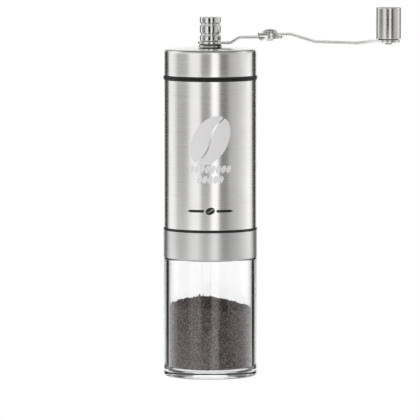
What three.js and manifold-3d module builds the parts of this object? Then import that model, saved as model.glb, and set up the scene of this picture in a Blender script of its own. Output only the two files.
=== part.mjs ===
// Hand crank coffee grinder: a steel tube with conical burrs, a screw-on glass jar and a folding
// crank. Millimetres, +Z up. The origin is the centre of the jar's flat underside, and +X points
// along the extended crank.

import * as THREE from 'three';
import { mergeVertices } from 'three/addons/utils/BufferGeometryUtils.js';
import Module from 'manifold-3d';

const wasm = await Module();
wasm.setup();

// ---------- driving dimensions ----------

const COARSE = 36; // facets round the wide pieces
const FINE = 18; // facets round the narrow pieces

const BODY_R = 25.0; // steel tube and lid, outside
const SHEET = 0.8; // wall of the tube, the lid and the jar's band
const FIT = 0.3; // gap between neighbouring pieces of one sub-assembly

const JAR_R = 25.1;
const JAR_BORE_R = 22.5;
const JAR_NECK_R = 23.6;
const JAR_MOUTH_R = 21.6;
const JAR_FLOOR = 3.7;
const JAR_FOOT_EDGE = 1.5;
const JAR_FLOOR_FILLET = 2.5;
const JAR_SHOULDER_Z = 63.9;
const JAR_STEP_Z = [64.5, 66.5]; // where the inside narrows, behind the band
const JAR_RIM_Z = 69.0;

const BAND_R = 25.2;
const BAND_TOP_Z = 79.1;

const NECK_R = 22.4; // male neck that the jar screws on
const NECK_BORE_R = 20.6;
const NECK_FOOT_Z = 70.9;
const FLANGE_R = 25.3;
const FLANGE_Z = [79.35, 80.15];

const TUBE_Z = [80.35, 160.15];
const SPIGOT_R = BODY_R - SHEET - FIT;
const FUNNEL_TOP_Z = 103.0;
const FUNNEL_THROAT_R = 14.6;

const BURR_R = 16.5;
const BURR_Z = [74.9, 87.5];
const BURR_GAP = 0.95; // radial gap between the burrs at the coarsest setting
const CONE_FOOT = [11.2, 74.0]; // radius and height of the rotating burr's ends
const CONE_TOP = [5.8, 87.2];

const CLAMP_R = [14.0, 20.3];
const CLAMP_Z = [72.4, 74.3];
const CLAMP_SCREWS = 3;
const CLAMP_SCREW_PITCH_R = 18.7;

const SPIDER_ARMS = 3;
const SPIDER_HUB_R = 7.5;
const SPIDER_Z = [97.0, 103.0];

const SHAFT_R = 3.0;
const SHAFT_BORE_R = 3.15;
const SHAFT_FOOT_Z = 67.9;
const THREAD_R = 2.35; // both threaded ends, drawn plain at their outer size
const THREAD_BORE_R = 2.65;
const DRIVE_HEX_R = 2.83; // across corners / 2, where the burr is driven
const DRIVE_HEX_FOOT_Z = 75.3; // clear of the adjuster at its finest setting
const CLIP_Z = 104.05;

const LID_Z = 162.4;
const LID_WALL_TOP_Z = 174.6;
const LID_EDGE_R = 2.2;
const LID_DOME = 1.1;
const LID_HOLE_R = 4.75; // in shell and liner, round the bushing
const LINER_FOOT_Z = 157.0;
const LINER_WALL = 1.5;
const LINER_WALL_TOP_Z = 173.8;
const LINER_BOSS_R = 7.0;
const LINER_BOSS_TOP_Z = 175.6;
const BUSHING_R = 4.5;
const BUSHING_LIP_R = 6.6;
const BUSHING_Z = [170.0, 178.72];
const BUSHING_FLARE = 0.8;
const SEAL_Z = [160.4, 162.2];
const SEAL_LIP_R = 25.4;

const HUB_PLATE_Z = 179.3;
const HINGE_X = 32.2; // the crank's folding pivot
const GRIP_X = 96.0; // the grip's axle
const LINK_THICK = 1.45;
const LINK_HALF_WIDTH = 5.0;
const INNER_END_R = 6.6;
const OUTER_END_R = 6.0;
const RIVET_R = 1.45;
const RIVET_HOLE_R = 1.75;
const RIVET_HEAD_R = 3.8;
const RIVET_HEAD_Z = [185.4, 187.6];
const OUTER_PLATE_Z = 183.85; // underside of the outer link at its pivot
const STOP_X = [-6.0, -1.4]; // the stop flange, from the pivot
const STOP_FOOT_Z = 181.2;
const STOP_CORNER_R = 1.6;

const GRIP_R = 6.75;
const GRIP_Z = [182.02, 199.2];

const NUT_R = 5.8;
const NUT_Z = [180.95, 193.95];

// ---------- finishes ----------

const finish = (color, roughness, metalness) => ({ color, roughness, metalness });
const FINISHES = {
  brushedSteel: finish(0xc9c7c3, 0.32, 1.0),
  polishedSteel: finish(0xd8d8d8, 0.08, 1.0),
  plainSteel: finish(0xb9b8b5, 0.3, 1.0),
  brass: finish(0xc2a35a, 0.35, 1.0),
  ceramic: finish(0xf0ede6, 0.45, 0.0),
  blackPlastic: finish(0x1b1b1c, 0.45, 0.0),
  nylon: finish(0xe6e2d8, 0.5, 0.0),
  rubber: finish(0x141414, 0.7, 0.0),
  glass: finish(0xf2f6f6, 0.03, 0.0),
};

// ---------- shape helpers ----------

// A closed triangle mesh as a manifold solid with its faces pointing out.
function solid(geometry) {
  geometry.deleteAttribute('normal');
  geometry.deleteAttribute('uv');
  const merged = mergeVertices(geometry, 1e-4);
  const triangles = [];
  for (let i = 0; i < merged.index.count; i += 3) {
    const corners = [0, 1, 2].map((k) => merged.index.getX(i + k));
    if (new Set(corners).size === 3) triangles.push(...corners);
  }
  if (signedVolume(merged, triangles) < 0) triangles.reverse();
  return new wasm.Manifold(new wasm.Mesh({
    numProp: 3,
    vertProperties: new Float32Array(merged.getAttribute('position').array),
    triVerts: new Uint32Array(triangles),
  }));
}

function signedVolume(geometry, triangles) {
  const position = geometry.getAttribute('position');
  const corner = [new THREE.Vector3(), new THREE.Vector3(), new THREE.Vector3()];
  let total = 0;
  for (let i = 0; i < triangles.length; i += 3) {
    corner.forEach((point, k) => point.fromBufferAttribute(position, triangles[i + k]));
    total += corner[0].dot(corner[1].clone().cross(corner[2])) / 6;
  }
  return total;
}

// A manifold solid as a named mesh with its own material.
function piece(name, shape, finishName) {
  const data = shape.getMesh();
  const geometry = new THREE.BufferGeometry();
  geometry.setAttribute('position', new THREE.BufferAttribute(data.vertProperties, 3));
  geometry.setIndex(new THREE.BufferAttribute(data.triVerts, 1));
  geometry.computeVertexNormals();
  const mesh = new THREE.Mesh(geometry, new THREE.MeshStandardMaterial(FINISHES[finishName]));
  mesh.name = name;
  return mesh;
}

function assembly(...children) {
  const group = new THREE.Group();
  group.add(...children);
  return group;
}

// A profile of [radius, height] points turned about Z. It starts and ends on the axis, or it is
// the section of a ring and closes on itself.
function turned(profile, facets = COARSE) {
  const onAxis = profile[0][0] === 0;
  const outline = onAxis ? profile : [...profile, profile[0]];
  const points = outline.map(([r, z]) => new THREE.Vector2(r, z));
  return solid(new THREE.LatheGeometry(points, facets).rotateX(Math.PI / 2));
}

function disc(radius, zLow, zHigh, facets = FINE) {
  return turned([[0, zLow], [radius, zLow], [radius, zHigh], [0, zHigh]], facets);
}

function ring(rIn, rOut, zLow, zHigh, facets = FINE) {
  return turned([[rIn, zLow], [rOut, zLow], [rOut, zHigh], [rIn, zHigh]], facets);
}

// Points of an arc in a profile, from one angle in degrees to another.
function arc(r, z, radius, from, to, steps) {
  return Array.from({ length: steps + 1 }, (_, i) => {
    const angle = THREE.MathUtils.degToRad(from + (to - from) * i / steps);
    return [r + radius * Math.cos(angle), z + radius * Math.sin(angle)];
  });
}

// A plan outline in X and Y, raised from one height to another.
function raised(shape, zLow, zHigh, curveSegments = 6) {
  const options = { depth: zHigh - zLow, bevelEnabled: false, curveSegments };
  return solid(new THREE.ExtrudeGeometry(shape, options).translate(0, 0, zLow));
}

// A side outline in X and Z, widened from one Y to another.
function widened(shape, yLow, yHigh, curveSegments = 6) {
  const options = { depth: yHigh - yLow, bevelEnabled: false, curveSegments };
  return solid(new THREE.ExtrudeGeometry(shape, options).rotateX(Math.PI / 2).translate(0, yHigh, 0));
}

function polygon(points) {
  return new THREE.Shape(points.map(([x, y]) => new THREE.Vector2(x, y)));
}

function hexPrism(cornerR, zLow, zHigh) {
  return disc(cornerR, zLow, zHigh, 6);
}

function block(xRange, yRange, zRange) {
  const size = [xRange, yRange, zRange].map(([low, high]) => high - low);
  const centre = [xRange, yRange, zRange].map(([low, high]) => (high + low) / 2);
  return solid(new THREE.BoxGeometry(...size).translate(...centre));
}

function around(count, make) {
  return Array.from({ length: count }, (_, i) => make(i, 360 * (i + 0.25) / count));
}

function polar(radius, degrees) {
  const angle = THREE.MathUtils.degToRad(degrees);
  return [radius * Math.cos(angle), radius * Math.sin(angle)];
}

// ---------- jar ----------

function glassJar() {
  return turned([
    [0, 0],
    ...arc(JAR_R - JAR_FOOT_EDGE, JAR_FOOT_EDGE, JAR_FOOT_EDGE, -90, 0, 3),
    [JAR_R, JAR_SHOULDER_Z - 0.4],
    [JAR_R - 0.4, JAR_SHOULDER_Z],
    [JAR_NECK_R, JAR_SHOULDER_Z],
    [JAR_NECK_R, JAR_RIM_Z],
    [JAR_MOUTH_R, JAR_RIM_Z],
    [JAR_MOUTH_R, JAR_STEP_Z[1]],
    [JAR_BORE_R, JAR_STEP_Z[0]],
    ...arc(JAR_BORE_R - JAR_FLOOR_FILLET, JAR_FLOOR + JAR_FLOOR_FILLET, JAR_FLOOR_FILLET, 0, -90,
      3),
    [0, JAR_FLOOR],
  ]);
}

function jarBand() {
  return ring(BAND_R - SHEET, BAND_R, JAR_SHOULDER_Z + FIT, BAND_TOP_Z, COARSE);
}

function jarThreadRing() {
  const outer = BAND_R - SHEET - FIT;
  const glued = JAR_NECK_R + FIT;
  const bore = NECK_R + 0.35;
  const foot = JAR_SHOULDER_Z + 0.7;
  const step = JAR_RIM_Z + FIT;
  const top = BAND_TOP_Z - 0.1;
  return turned([[glued, foot], [outer, foot], [outer, top], [bore, top], [bore, step], [glued, step]]);
}

function jarGasket() {
  return ring(JAR_MOUTH_R + 0.1, NECK_R + 0.2, JAR_RIM_Z + 0.15, NECK_FOOT_Z - FIT, COARSE);
}

function jar() {
  return assembly(
    piece('glass_jar', glassJar(), 'glass'),
    piece('jar_band', jarBand(), 'brushedSteel'),
    piece('jar_thread_ring', jarThreadRing(), 'blackPlastic'),
    piece('jar_gasket', jarGasket(), 'rubber'),
  );
}

// ---------- body with the fixed burr ----------

function housingShell() {
  const seat = BURR_R + FIT;
  const seatTop = BURR_Z[1] + FIT;
  const seatFoot = CLAMP_Z[1] + FIT;
  return turned([
    [NECK_BORE_R, NECK_FOOT_Z],
    [NECK_R, NECK_FOOT_Z],
    [NECK_R, FLANGE_Z[0]],
    [FLANGE_R, FLANGE_Z[0]],
    [FLANGE_R, FLANGE_Z[1]],
    [SPIGOT_R, FLANGE_Z[1]],
    [SPIGOT_R, FUNNEL_TOP_Z],
    [SPIGOT_R - 0.9, FUNNEL_TOP_Z],
    [FUNNEL_THROAT_R, seatTop + 1.7],
    [FUNNEL_THROAT_R, seatTop],
    [seat, seatTop],
    [seat, seatFoot],
    [NECK_BORE_R, seatFoot],
  ]);
}

function millHousing() {
  const arms = around(SPIDER_ARMS, (i, degrees) => block(
    [SPIDER_HUB_R - 1.5, SPIGOT_R - 1.4], [-2, 2], [SPIDER_Z[0] + 0.5, SPIDER_Z[1] - 1],
  ).rotate([0, 0, degrees]));
  const holes = around(CLAMP_SCREWS, (i, degrees) => disc(1.2, CLAMP_Z[1], CLAMP_Z[1] + 8.2, 12)
    .translate([...polar(CLAMP_SCREW_PITCH_R, degrees), 0]));
  let housing = housingShell().add(disc(SPIDER_HUB_R, ...SPIDER_Z));
  arms.forEach((arm) => { housing = housing.add(arm); });
  holes.forEach((hole) => { housing = housing.subtract(hole); });
  return housing.subtract(disc(4.85, SPIDER_Z[0] - 1, SPIDER_Z[1] + 1));
}

function hopperTube() {
  return ring(BODY_R - SHEET, BODY_R, ...TUBE_Z, COARSE);
}

function lowerBush() {
  const foot = SPIDER_Z[0] - 1.1;
  return turned([
    [SHAFT_BORE_R, foot], [6.2, foot], [6.2, foot + 0.9], [4.6, foot + 0.9],
    [4.6, SPIDER_Z[1] + 0.4], [SHAFT_BORE_R, SPIDER_Z[1] + 0.4],
  ], FINE);
}

function coneRadius(z) {
  const slope = (CONE_TOP[0] - CONE_FOOT[0]) / (CONE_TOP[1] - CONE_FOOT[1]);
  return CONE_FOOT[0] + slope * (z - CONE_FOOT[1]);
}

function outerBurr() {
  const waist = 82.5;
  return turned([
    [coneRadius(BURR_Z[0]) + BURR_GAP, BURR_Z[0]],
    [BURR_R, BURR_Z[0]],
    [BURR_R, BURR_Z[1]],
    [13.6, BURR_Z[1]],
    [coneRadius(waist) + BURR_GAP, waist],
  ]);
}

function clampRing() {
  const holes = around(CLAMP_SCREWS, (i, degrees) => disc(1.3, CLAMP_Z[0] - 1, CLAMP_Z[1] + 1, 12)
    .translate([...polar(CLAMP_SCREW_PITCH_R, degrees), 0]));
  return holes.reduce((shape, hole) => shape.subtract(hole), ring(...CLAMP_R, ...CLAMP_Z, COARSE));
}

// A self-tapping pan-head screw with its head down, its seat at z = 0.
function clampScrew() {
  return turned([[0, -1.2], [1.3, -1.2], [1.75, -0.7], [1.75, -0.1], [0.95, -0.1], [0.95, 7.4],
    [0, 8.6]], 12);
}

function body() {
  const screws = around(CLAMP_SCREWS, (i, degrees) => {
    const screw = piece(`clamp_screw_${i + 1}`, clampScrew(), 'plainSteel');
    screw.position.set(...polar(CLAMP_SCREW_PITCH_R, degrees), CLAMP_Z[0]);
    return screw;
  });
  return assembly(
    piece('hopper_tube', hopperTube(), 'brushedSteel'),
    piece('mill_housing', millHousing(), 'blackPlastic'),
    piece('lower_bush', lowerBush(), 'nylon'),
    piece('outer_burr', outerBurr(), 'ceramic'),
    piece('burr_clamp_ring', clampRing(), 'blackPlastic'),
    ...screws,
  );
}

// ---------- shaft with the rotating burr ----------

function driveShaft() {
  const bearingTop = CLIP_Z - 0.45;
  const hubFoot = HUB_PLATE_Z - 0.7;
  const studFoot = hubFoot + 2.0;
  const studTop = NUT_Z[1] - 4.9;
  const round = turned([
    [0, SHAFT_FOOT_Z], [THREAD_R - 0.5, SHAFT_FOOT_Z], [THREAD_R, SHAFT_FOOT_Z + 0.5],
    [THREAD_R, 90.6], [SHAFT_R, 90.6], [SHAFT_R, bearingTop], [2.4, bearingTop],
    [2.4, bearingTop + 0.9], [SHAFT_R, bearingTop + 0.9], [SHAFT_R, hubFoot], [THREAD_R, hubFoot],
    [THREAD_R, studTop - 0.5], [THREAD_R - 0.5, studTop], [0, studTop],
  ], FINE);
  return round
    .add(hexPrism(DRIVE_HEX_R, DRIVE_HEX_FOOT_Z, 90.7))
    .add(hexPrism(SHAFT_R - 0.02, hubFoot - 0.2, studFoot));
}

// A spring clip snapped into the shaft's groove, with its mouth towards +X.
function shaftClip() {
  const whole = ring(2.65, 5.0, CLIP_Z - 0.35, CLIP_Z + 0.35);
  return whole.subtract(block([0, 6], [-1.8, 1.8], [CLIP_Z - 1, CLIP_Z + 1]));
}

function innerBurr() {
  const pocketTop = CONE_FOOT[1] + 1.7;
  return turned([
    [9.8, CONE_FOOT[1]], CONE_FOOT, CONE_TOP, [4.9, CONE_TOP[1]], [4.9, pocketTop], [9.8, pocketTop],
  ]);
}

function burrDriver() {
  const foot = CONE_FOOT[1] - 0.1;
  const outline = [[0, foot], [9.5, foot], [9.5, foot + 1.5], [4.6, foot + 1.5], [4.6, 88.0],
    [0, 88.0]];
  return turned(outline, FINE).subtract(hexPrism(DRIVE_HEX_R + 0.3, foot - 1, 89));
}

function adjusterDial() {
  const lobes = 12;
  const stepsPerLobe = 4;
  const count = lobes * stepsPerLobe;
  const rim = Array.from({ length: count }, (_, i) => {
    const swell = 0.45 * Math.cos(2 * Math.PI * i / stepsPerLobe);
    return polar(10.05 + swell, 360 * i / count);
  });
  return raised(polygon(rim), 68.3, 71.4)
    .add(disc(6.6, 71.3, 73.5))
    .subtract(hexPrism(4.45, 67, 75));
}

function adjusterNut() {
  return hexPrism(4.15, 68.8, 73.4).subtract(disc(THREAD_BORE_R, 68, 75));
}

function rotor() {
  return assembly(
    piece('drive_shaft', driveShaft(), 'plainSteel'),
    piece('shaft_clip', shaftClip(), 'plainSteel'),
    piece('thrust_washer', ring(SHAFT_BORE_R, 6.0, 95.0, 95.7), 'plainSteel'),
    piece('burr_spring', ring(3.5, 4.7, 88.3, 94.8), 'plainSteel'),
    piece('inner_burr', innerBurr(), 'ceramic'),
    piece('burr_driver', burrDriver(), 'blackPlastic'),
    piece('adjuster_dial', adjusterDial(), 'blackPlastic'),
    piece('adjuster_nut', adjusterNut(), 'brass'),
  );
}

// ---------- lid ----------

function domeZ(r) {
  return LID_WALL_TOP_Z + LID_EDGE_R + LID_DOME * (1 - (r / (BODY_R - LID_EDGE_R)) ** 2);
}

function lidShell() {
  const edge = BODY_R - LID_EDGE_R;
  const radii = [14.0, LID_HOLE_R];
  return turned([
    [BODY_R, LID_Z],
    ...arc(edge, LID_WALL_TOP_Z, LID_EDGE_R, 0, 90, 3),
    ...radii.map((r) => [r, domeZ(r)]),
    ...radii.reverse().map((r) => [r, domeZ(r) - SHEET]),
    ...arc(edge, LID_WALL_TOP_Z, LID_EDGE_R - SHEET, 90, 0, 2),
    [BODY_R - SHEET, LID_Z],
  ]);
}

function lidLiner() {
  const plug = SPIGOT_R - FIT;
  const step = LID_Z + 0.1;
  const cup = SPIGOT_R - LINER_WALL;
  const floor = LINER_FOOT_Z + 1.8;
  const shaftHole = SHAFT_R + 0.5;
  const bushingSeat = BUSHING_Z[0] - 0.5;
  return turned([
    [shaftHole, LINER_FOOT_Z], [plug, LINER_FOOT_Z], [plug, step], [SPIGOT_R, step],
    [SPIGOT_R, LINER_WALL_TOP_Z], [cup, LINER_WALL_TOP_Z], [cup, floor], [LINER_BOSS_R, floor],
    [LINER_BOSS_R, LINER_BOSS_TOP_Z], [LID_HOLE_R, LINER_BOSS_TOP_Z], [LID_HOLE_R, bushingSeat],
    [shaftHole, bushingSeat],
  ]);
}

function lidSeal() {
  const inside = SPIGOT_R - 0.05;
  const [foot, top] = SEAL_Z;
  const groove = (foot + top) / 2;
  return turned([
    [inside, foot], [SEAL_LIP_R - 0.1, foot], [SEAL_LIP_R, groove - 0.4], [BODY_R, groove],
    [SEAL_LIP_R, groove + 0.4], [SEAL_LIP_R - 0.1, top], [inside, top],
  ]);
}

function lidBushing() {
  const [foot, top] = BUSHING_Z;
  return turned([
    [SHAFT_BORE_R, foot], [BUSHING_R, foot], [BUSHING_R, top - BUSHING_FLARE],
    [BUSHING_LIP_R, top - BUSHING_FLARE], [BUSHING_LIP_R - 0.7, top], [SHAFT_BORE_R, top],
  ], FINE);
}

function lid() {
  return assembly(
    piece('lid_shell', lidShell(), 'brushedSteel'),
    piece('lid_liner', lidLiner(), 'blackPlastic'),
    piece('lid_seal', lidSeal(), 'rubber'),
    piece('lid_bushing', lidBushing(), 'polishedSteel'),
  );
}

// ---------- crank ----------

// A side outline for a bent strip: its lower corners as [x, z], joined with round bends.
function bentStrip(corners, thickness) {
  const line = [corners[0]];
  corners.slice(1, -1).forEach((corner, i) => {
    const [before, after] = [corners[i], corners[i + 2]].map((other) => {
      const [dx, dz] = [other[0] - corner[0], other[1] - corner[1]];
      const reach = Math.min(1.6, Math.hypot(dx, dz) / 2) / Math.hypot(dx, dz);
      return [corner[0] + dx * reach, corner[1] + dz * reach];
    });
    for (let t = 0; t <= 1; t += 0.25) {
      line.push([0, 1].map((k) => (1 - t) ** 2 * before[k] + 2 * t * (1 - t) * corner[k]
        + t ** 2 * after[k]));
    }
  });
  line.push(corners[corners.length - 1]);
  const upper = line.map(([x, z]) => [x, z + thickness]).reverse();
  return polygon([...line, ...upper]);
}

// A plan outline: a round end at x = 0, a straight waist and a round end at x = length.
function linkPlan(startR, endR, length, halfWidth) {
  const shape = new THREE.Shape();
  shape.moveTo(0, startR);
  shape.absarc(0, 0, startR, Math.PI / 2, -Math.PI / 2, false);
  shape.quadraticCurveTo(startR * 0.9, -startR, startR * 1.7, -halfWidth);
  shape.lineTo(length - endR * 1.7, -halfWidth);
  shape.quadraticCurveTo(length - endR * 0.9, -endR, length, -endR);
  shape.absarc(length, 0, endR, -Math.PI / 2, Math.PI / 2, false);
  shape.quadraticCurveTo(length - endR * 0.9, endR, length - endR * 1.7, halfWidth);
  shape.lineTo(startR * 1.7, halfWidth);
  shape.quadraticCurveTo(startR * 0.9, startR, 0, startR);
  return shape;
}

function innerLink() {
  const raisedZ = HUB_PLATE_Z + 2.96;
  const side = bentStrip([[-8, HUB_PLATE_Z], [11.2, HUB_PLATE_Z], [16.0, raisedZ], [40, raisedZ]],
    LINK_THICK);
  return widened(side, -8, 8)
    .intersect(raised(linkPlan(INNER_END_R, INNER_END_R, HINGE_X, LINK_HALF_WIDTH), 170, 200))
    .subtract(hexPrism(SHAFT_R + 0.25, 170, 200))
    .subtract(disc(RIVET_HOLE_R, 170, 200, 16).translate([HINGE_X, 0, 0]));
}

// The outer link in its own frame, with the folding pivot at x = 0.
function outerLink() {
  const length = GRIP_X - HINGE_X;
  const side = bentStrip([[-9, OUTER_PLATE_Z], [11.4, OUTER_PLATE_Z], [24.3, 179.85],
    [47.0, 179.1], [55.1, 180.05], [72, 180.05]], LINK_THICK);
  return widened(side, -9, 9)
    .intersect(raised(linkPlan(INNER_END_R, OUTER_END_R, length, LINK_HALF_WIDTH), 170, 200))
    .add(stopFlange())
    .subtract(disc(RIVET_HOLE_R, 170, 200, 16))
    .subtract(disc(RIVET_HOLE_R, 170, 200, 16).translate([length, 0, 0]));
}

// The tab that folds down beside the inner link and stops the arm when it is straight.
function stopFlange() {
  const [xLow, xHigh] = STOP_X;
  const face = -INNER_END_R - 0.35;
  const back = face - LINK_THICK;
  const plateTop = OUTER_PLATE_Z + LINK_THICK;
  const tab = new THREE.Shape();
  tab.moveTo(xLow, plateTop);
  tab.lineTo(xLow, STOP_FOOT_Z + STOP_CORNER_R);
  tab.quadraticCurveTo(xLow, STOP_FOOT_Z, xLow + STOP_CORNER_R, STOP_FOOT_Z);
  tab.lineTo(xHigh, STOP_FOOT_Z);
  tab.lineTo(xHigh, plateTop);
  return widened(tab, back, face)
    .add(block([xLow, xHigh], [back, -2.5], [OUTER_PLATE_Z, plateTop]));
}

// The hammered end of a rivet or pin, up to the hole that it fills.
function peenedTail(foot, hole) {
  const r = RIVET_R + 0.5;
  return [[0, foot], [r - 0.25, foot], [r, foot + 0.3], [r, hole - 0.12], [RIVET_R, hole]];
}

// A rivet on the axis x = 0: a domed head on the plate's top and a peened tail under it.
function hingeRivet() {
  const [seat, top] = RIVET_HEAD_Z;
  return turned([
    ...peenedTail(181.0, 182.1), [RIVET_R, seat], [RIVET_HEAD_R, seat],
    [RIVET_HEAD_R - 0.1, seat + 0.8], [2.8, top - 0.5], [1.4, top - 0.1], [0, top],
  ], FINE);
}

function gripPin() {
  const [shoulder, headFoot, headTop] = [181.62, 195.2, 196.5];
  return turned([
    ...peenedTail(179.0, 179.9), [RIVET_R, shoulder], [2.2, shoulder], [2.2, headFoot],
    [3.4, headFoot], [3.4, headTop], [0, headTop],
  ], FINE);
}

function gripShell() {
  const [foot, top] = GRIP_Z;
  const bore = 5.35;
  const ceiling = top - 1.8;
  return turned([
    [0, ceiling], [bore, ceiling], [bore, foot], [GRIP_R - 0.3, foot], [GRIP_R, foot + 0.3],
    ...arc(GRIP_R - 0.9, top - 0.9, 0.9, 0, 90, 3),
    [0, top],
  ], FINE);
}

function gripBush() {
  return ring(2.4, 5.05, GRIP_Z[0] + 0.1, 195.0);
}

function thumbNut() {
  const [foot, top] = NUT_Z;
  const groove = (zHigh, zLow) => [[NUT_R, zHigh], [NUT_R - 0.8, zHigh - 0.8],
    [NUT_R - 0.8, zLow + 0.8], [NUT_R, zLow]];
  return turned([
    [0, top], [NUT_R - 0.5, top], [NUT_R, top - 0.5], ...groove(190.85, 189.0),
    ...groove(185.4, 183.6), [NUT_R, foot + 0.4], [NUT_R - 0.4, foot], [4.75, foot],
    [4.75, foot + 1.2], [THREAD_BORE_R, foot + 1.2], [THREAD_BORE_R, top - 3.7], [0, top - 3.7],
  ], FINE);
}

function grip() {
  return assembly(
    piece('grip_shell', gripShell(), 'brushedSteel'),
    piece('grip_bush', gripBush(), 'nylon'),
    piece('grip_pin', gripPin(), 'plainSteel'),
    piece('grip_washer', ring(2.45, 5.6, 181.64, 181.92), 'blackPlastic'),
  );
}

function foldingArm() {
  const gripAssembly = grip();
  gripAssembly.position.x = GRIP_X - HINGE_X;
  const arm = assembly(
    piece('crank_outer_link', outerLink(), 'polishedSteel'),
    piece('hinge_rivet', hingeRivet(), 'polishedSteel'),
    gripAssembly,
  );
  arm.position.x = HINGE_X;
  return arm;
}

function crank() {
  return assembly(
    piece('crank_washer', ring(3.3, 5.9, 178.8, 179.18), 'blackPlastic'),
    piece('crank_inner_link', innerLink(), 'polishedSteel'),
    piece('nut_washer', ring(THREAD_BORE_R + 0.05, 4.45, 181.05, 181.9), 'nylon'),
    piece('thumb_nut', thumbNut(), 'polishedSteel'),
    foldingArm(),
  );
}

export default assembly(jar(), body(), rotor(), lid(), crank());
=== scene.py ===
"""Hand crank coffee grinder: the visible model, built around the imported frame.

Each sub-assembly is a class that holds its sizes in millimetres and builds its pieces in the
frame's own place. Heights and outside radii come from the frame's nodes. Finishes are small
classes that each make one material from the name of a real material and its surface.
"""

import logging
import math
from collections.abc import Callable, Sequence
from dataclasses import dataclass, field
from enum import Enum

import bmesh
import bpy
import mathutils
from mathutils import Matrix, Vector


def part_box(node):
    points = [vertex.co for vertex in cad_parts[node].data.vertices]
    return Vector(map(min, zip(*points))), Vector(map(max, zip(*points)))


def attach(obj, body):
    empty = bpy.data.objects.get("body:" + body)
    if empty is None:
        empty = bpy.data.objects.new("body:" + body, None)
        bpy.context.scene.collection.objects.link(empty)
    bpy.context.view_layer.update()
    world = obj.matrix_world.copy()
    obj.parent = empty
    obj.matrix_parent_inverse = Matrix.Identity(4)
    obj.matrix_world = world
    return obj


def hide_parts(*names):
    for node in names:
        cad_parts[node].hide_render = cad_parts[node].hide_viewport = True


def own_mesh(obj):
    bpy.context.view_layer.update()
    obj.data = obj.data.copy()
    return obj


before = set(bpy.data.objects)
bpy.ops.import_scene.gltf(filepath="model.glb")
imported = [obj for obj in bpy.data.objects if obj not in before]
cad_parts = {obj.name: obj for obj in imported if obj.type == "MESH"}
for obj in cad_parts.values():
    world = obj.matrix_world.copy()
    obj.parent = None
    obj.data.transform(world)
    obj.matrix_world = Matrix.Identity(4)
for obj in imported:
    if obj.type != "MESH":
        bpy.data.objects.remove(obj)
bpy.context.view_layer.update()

LOG = logging.getLogger("grinder")
MM = 0.001
FULL_TURN = 2 * math.pi
SMOOTH_ANGLE = math.radians(35)
ROD_SMOOTH_ANGLE = math.radians(50)
ROUND_WIDE = 192
ROUND_NARROW = 96

Point = tuple[float, float]
Place = tuple[float, float, float]
Colour = tuple[float, float, float, float]
Profile = list[Point]
RadiusRule = Callable[[float, float, float], float]
Warp = Callable[[Vector], Place]
Shape = bmesh.types.BMesh
Piece = bpy.types.Object
Material = bpy.types.Material
Node = bpy.types.Node
Socket = bpy.types.NodeSocket
Tree = bpy.types.NodeTree


# ---------------------------------------------------------------- frame


@dataclass(frozen=True)
class Extent:
    """Where a frame node lies, in millimetres.

    Args:
        low: lowest corner.
        high: highest corner.
    """

    low: Vector
    high: Vector

    @classmethod
    def of(cls, node: str) -> "Extent":
        """The extent of one frame node."""
        low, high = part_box(node)
        return cls(low / MM, high / MM)

    @property
    def foot(self) -> float:
        """Lowest height."""
        return self.low.z

    @property
    def top(self) -> float:
        """Highest height."""
        return self.high.z

    @property
    def radius(self) -> float:
        """Outside radius of a round node, from its width across X."""
        return (self.high.x - self.low.x) / 2

    @property
    def middle_x(self) -> float:
        """Middle of the node across X."""
        return (self.high.x + self.low.x) / 2


def node_extent(node: str) -> Extent:
    """A dataclass field that holds where a frame node lies."""
    return field(default_factory=lambda: Extent.of(node))


# ---------------------------------------------------------------- node trees


def add_node(
    tree: Tree,
    kind: str,
    sockets: dict[str | int, object] | None = None,
    **settings: object,
) -> Node:
    """Adds a node with its settings, socket values and links.

    Args:
        tree: the tree that gets the node.
        kind: the node's type name.
        sockets: values by socket name or number; an output socket is linked.
        settings: the node's own properties.

    Returns:
        The new node.
    """
    node = tree.nodes.new(kind)
    for name, value in settings.items():
        setattr(node, name, value)
    for key, value in (sockets or {}).items():
        if isinstance(value, Socket):
            tree.links.new(value, node.inputs[key])
        else:
            node.inputs[key].default_value = value
    return node


def linear(hex_colour: str) -> Colour:
    """A linear RGBA colour from an sRGB hex value such as "c9c7c3".

    Args:
        hex_colour: six hex digits, two for each of red, green and blue.

    Returns:
        Red, green, blue and alpha, each from 0 to 1.
    """
    parts = [int(hex_colour[i : i + 2], 16) / 255 for i in (0, 2, 4)]
    curve = [c / 12.92 if c <= 0.04045 else ((c + 0.055) / 1.055) ** 2.4 for c in parts]
    return (*curve, 1.0)


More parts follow.
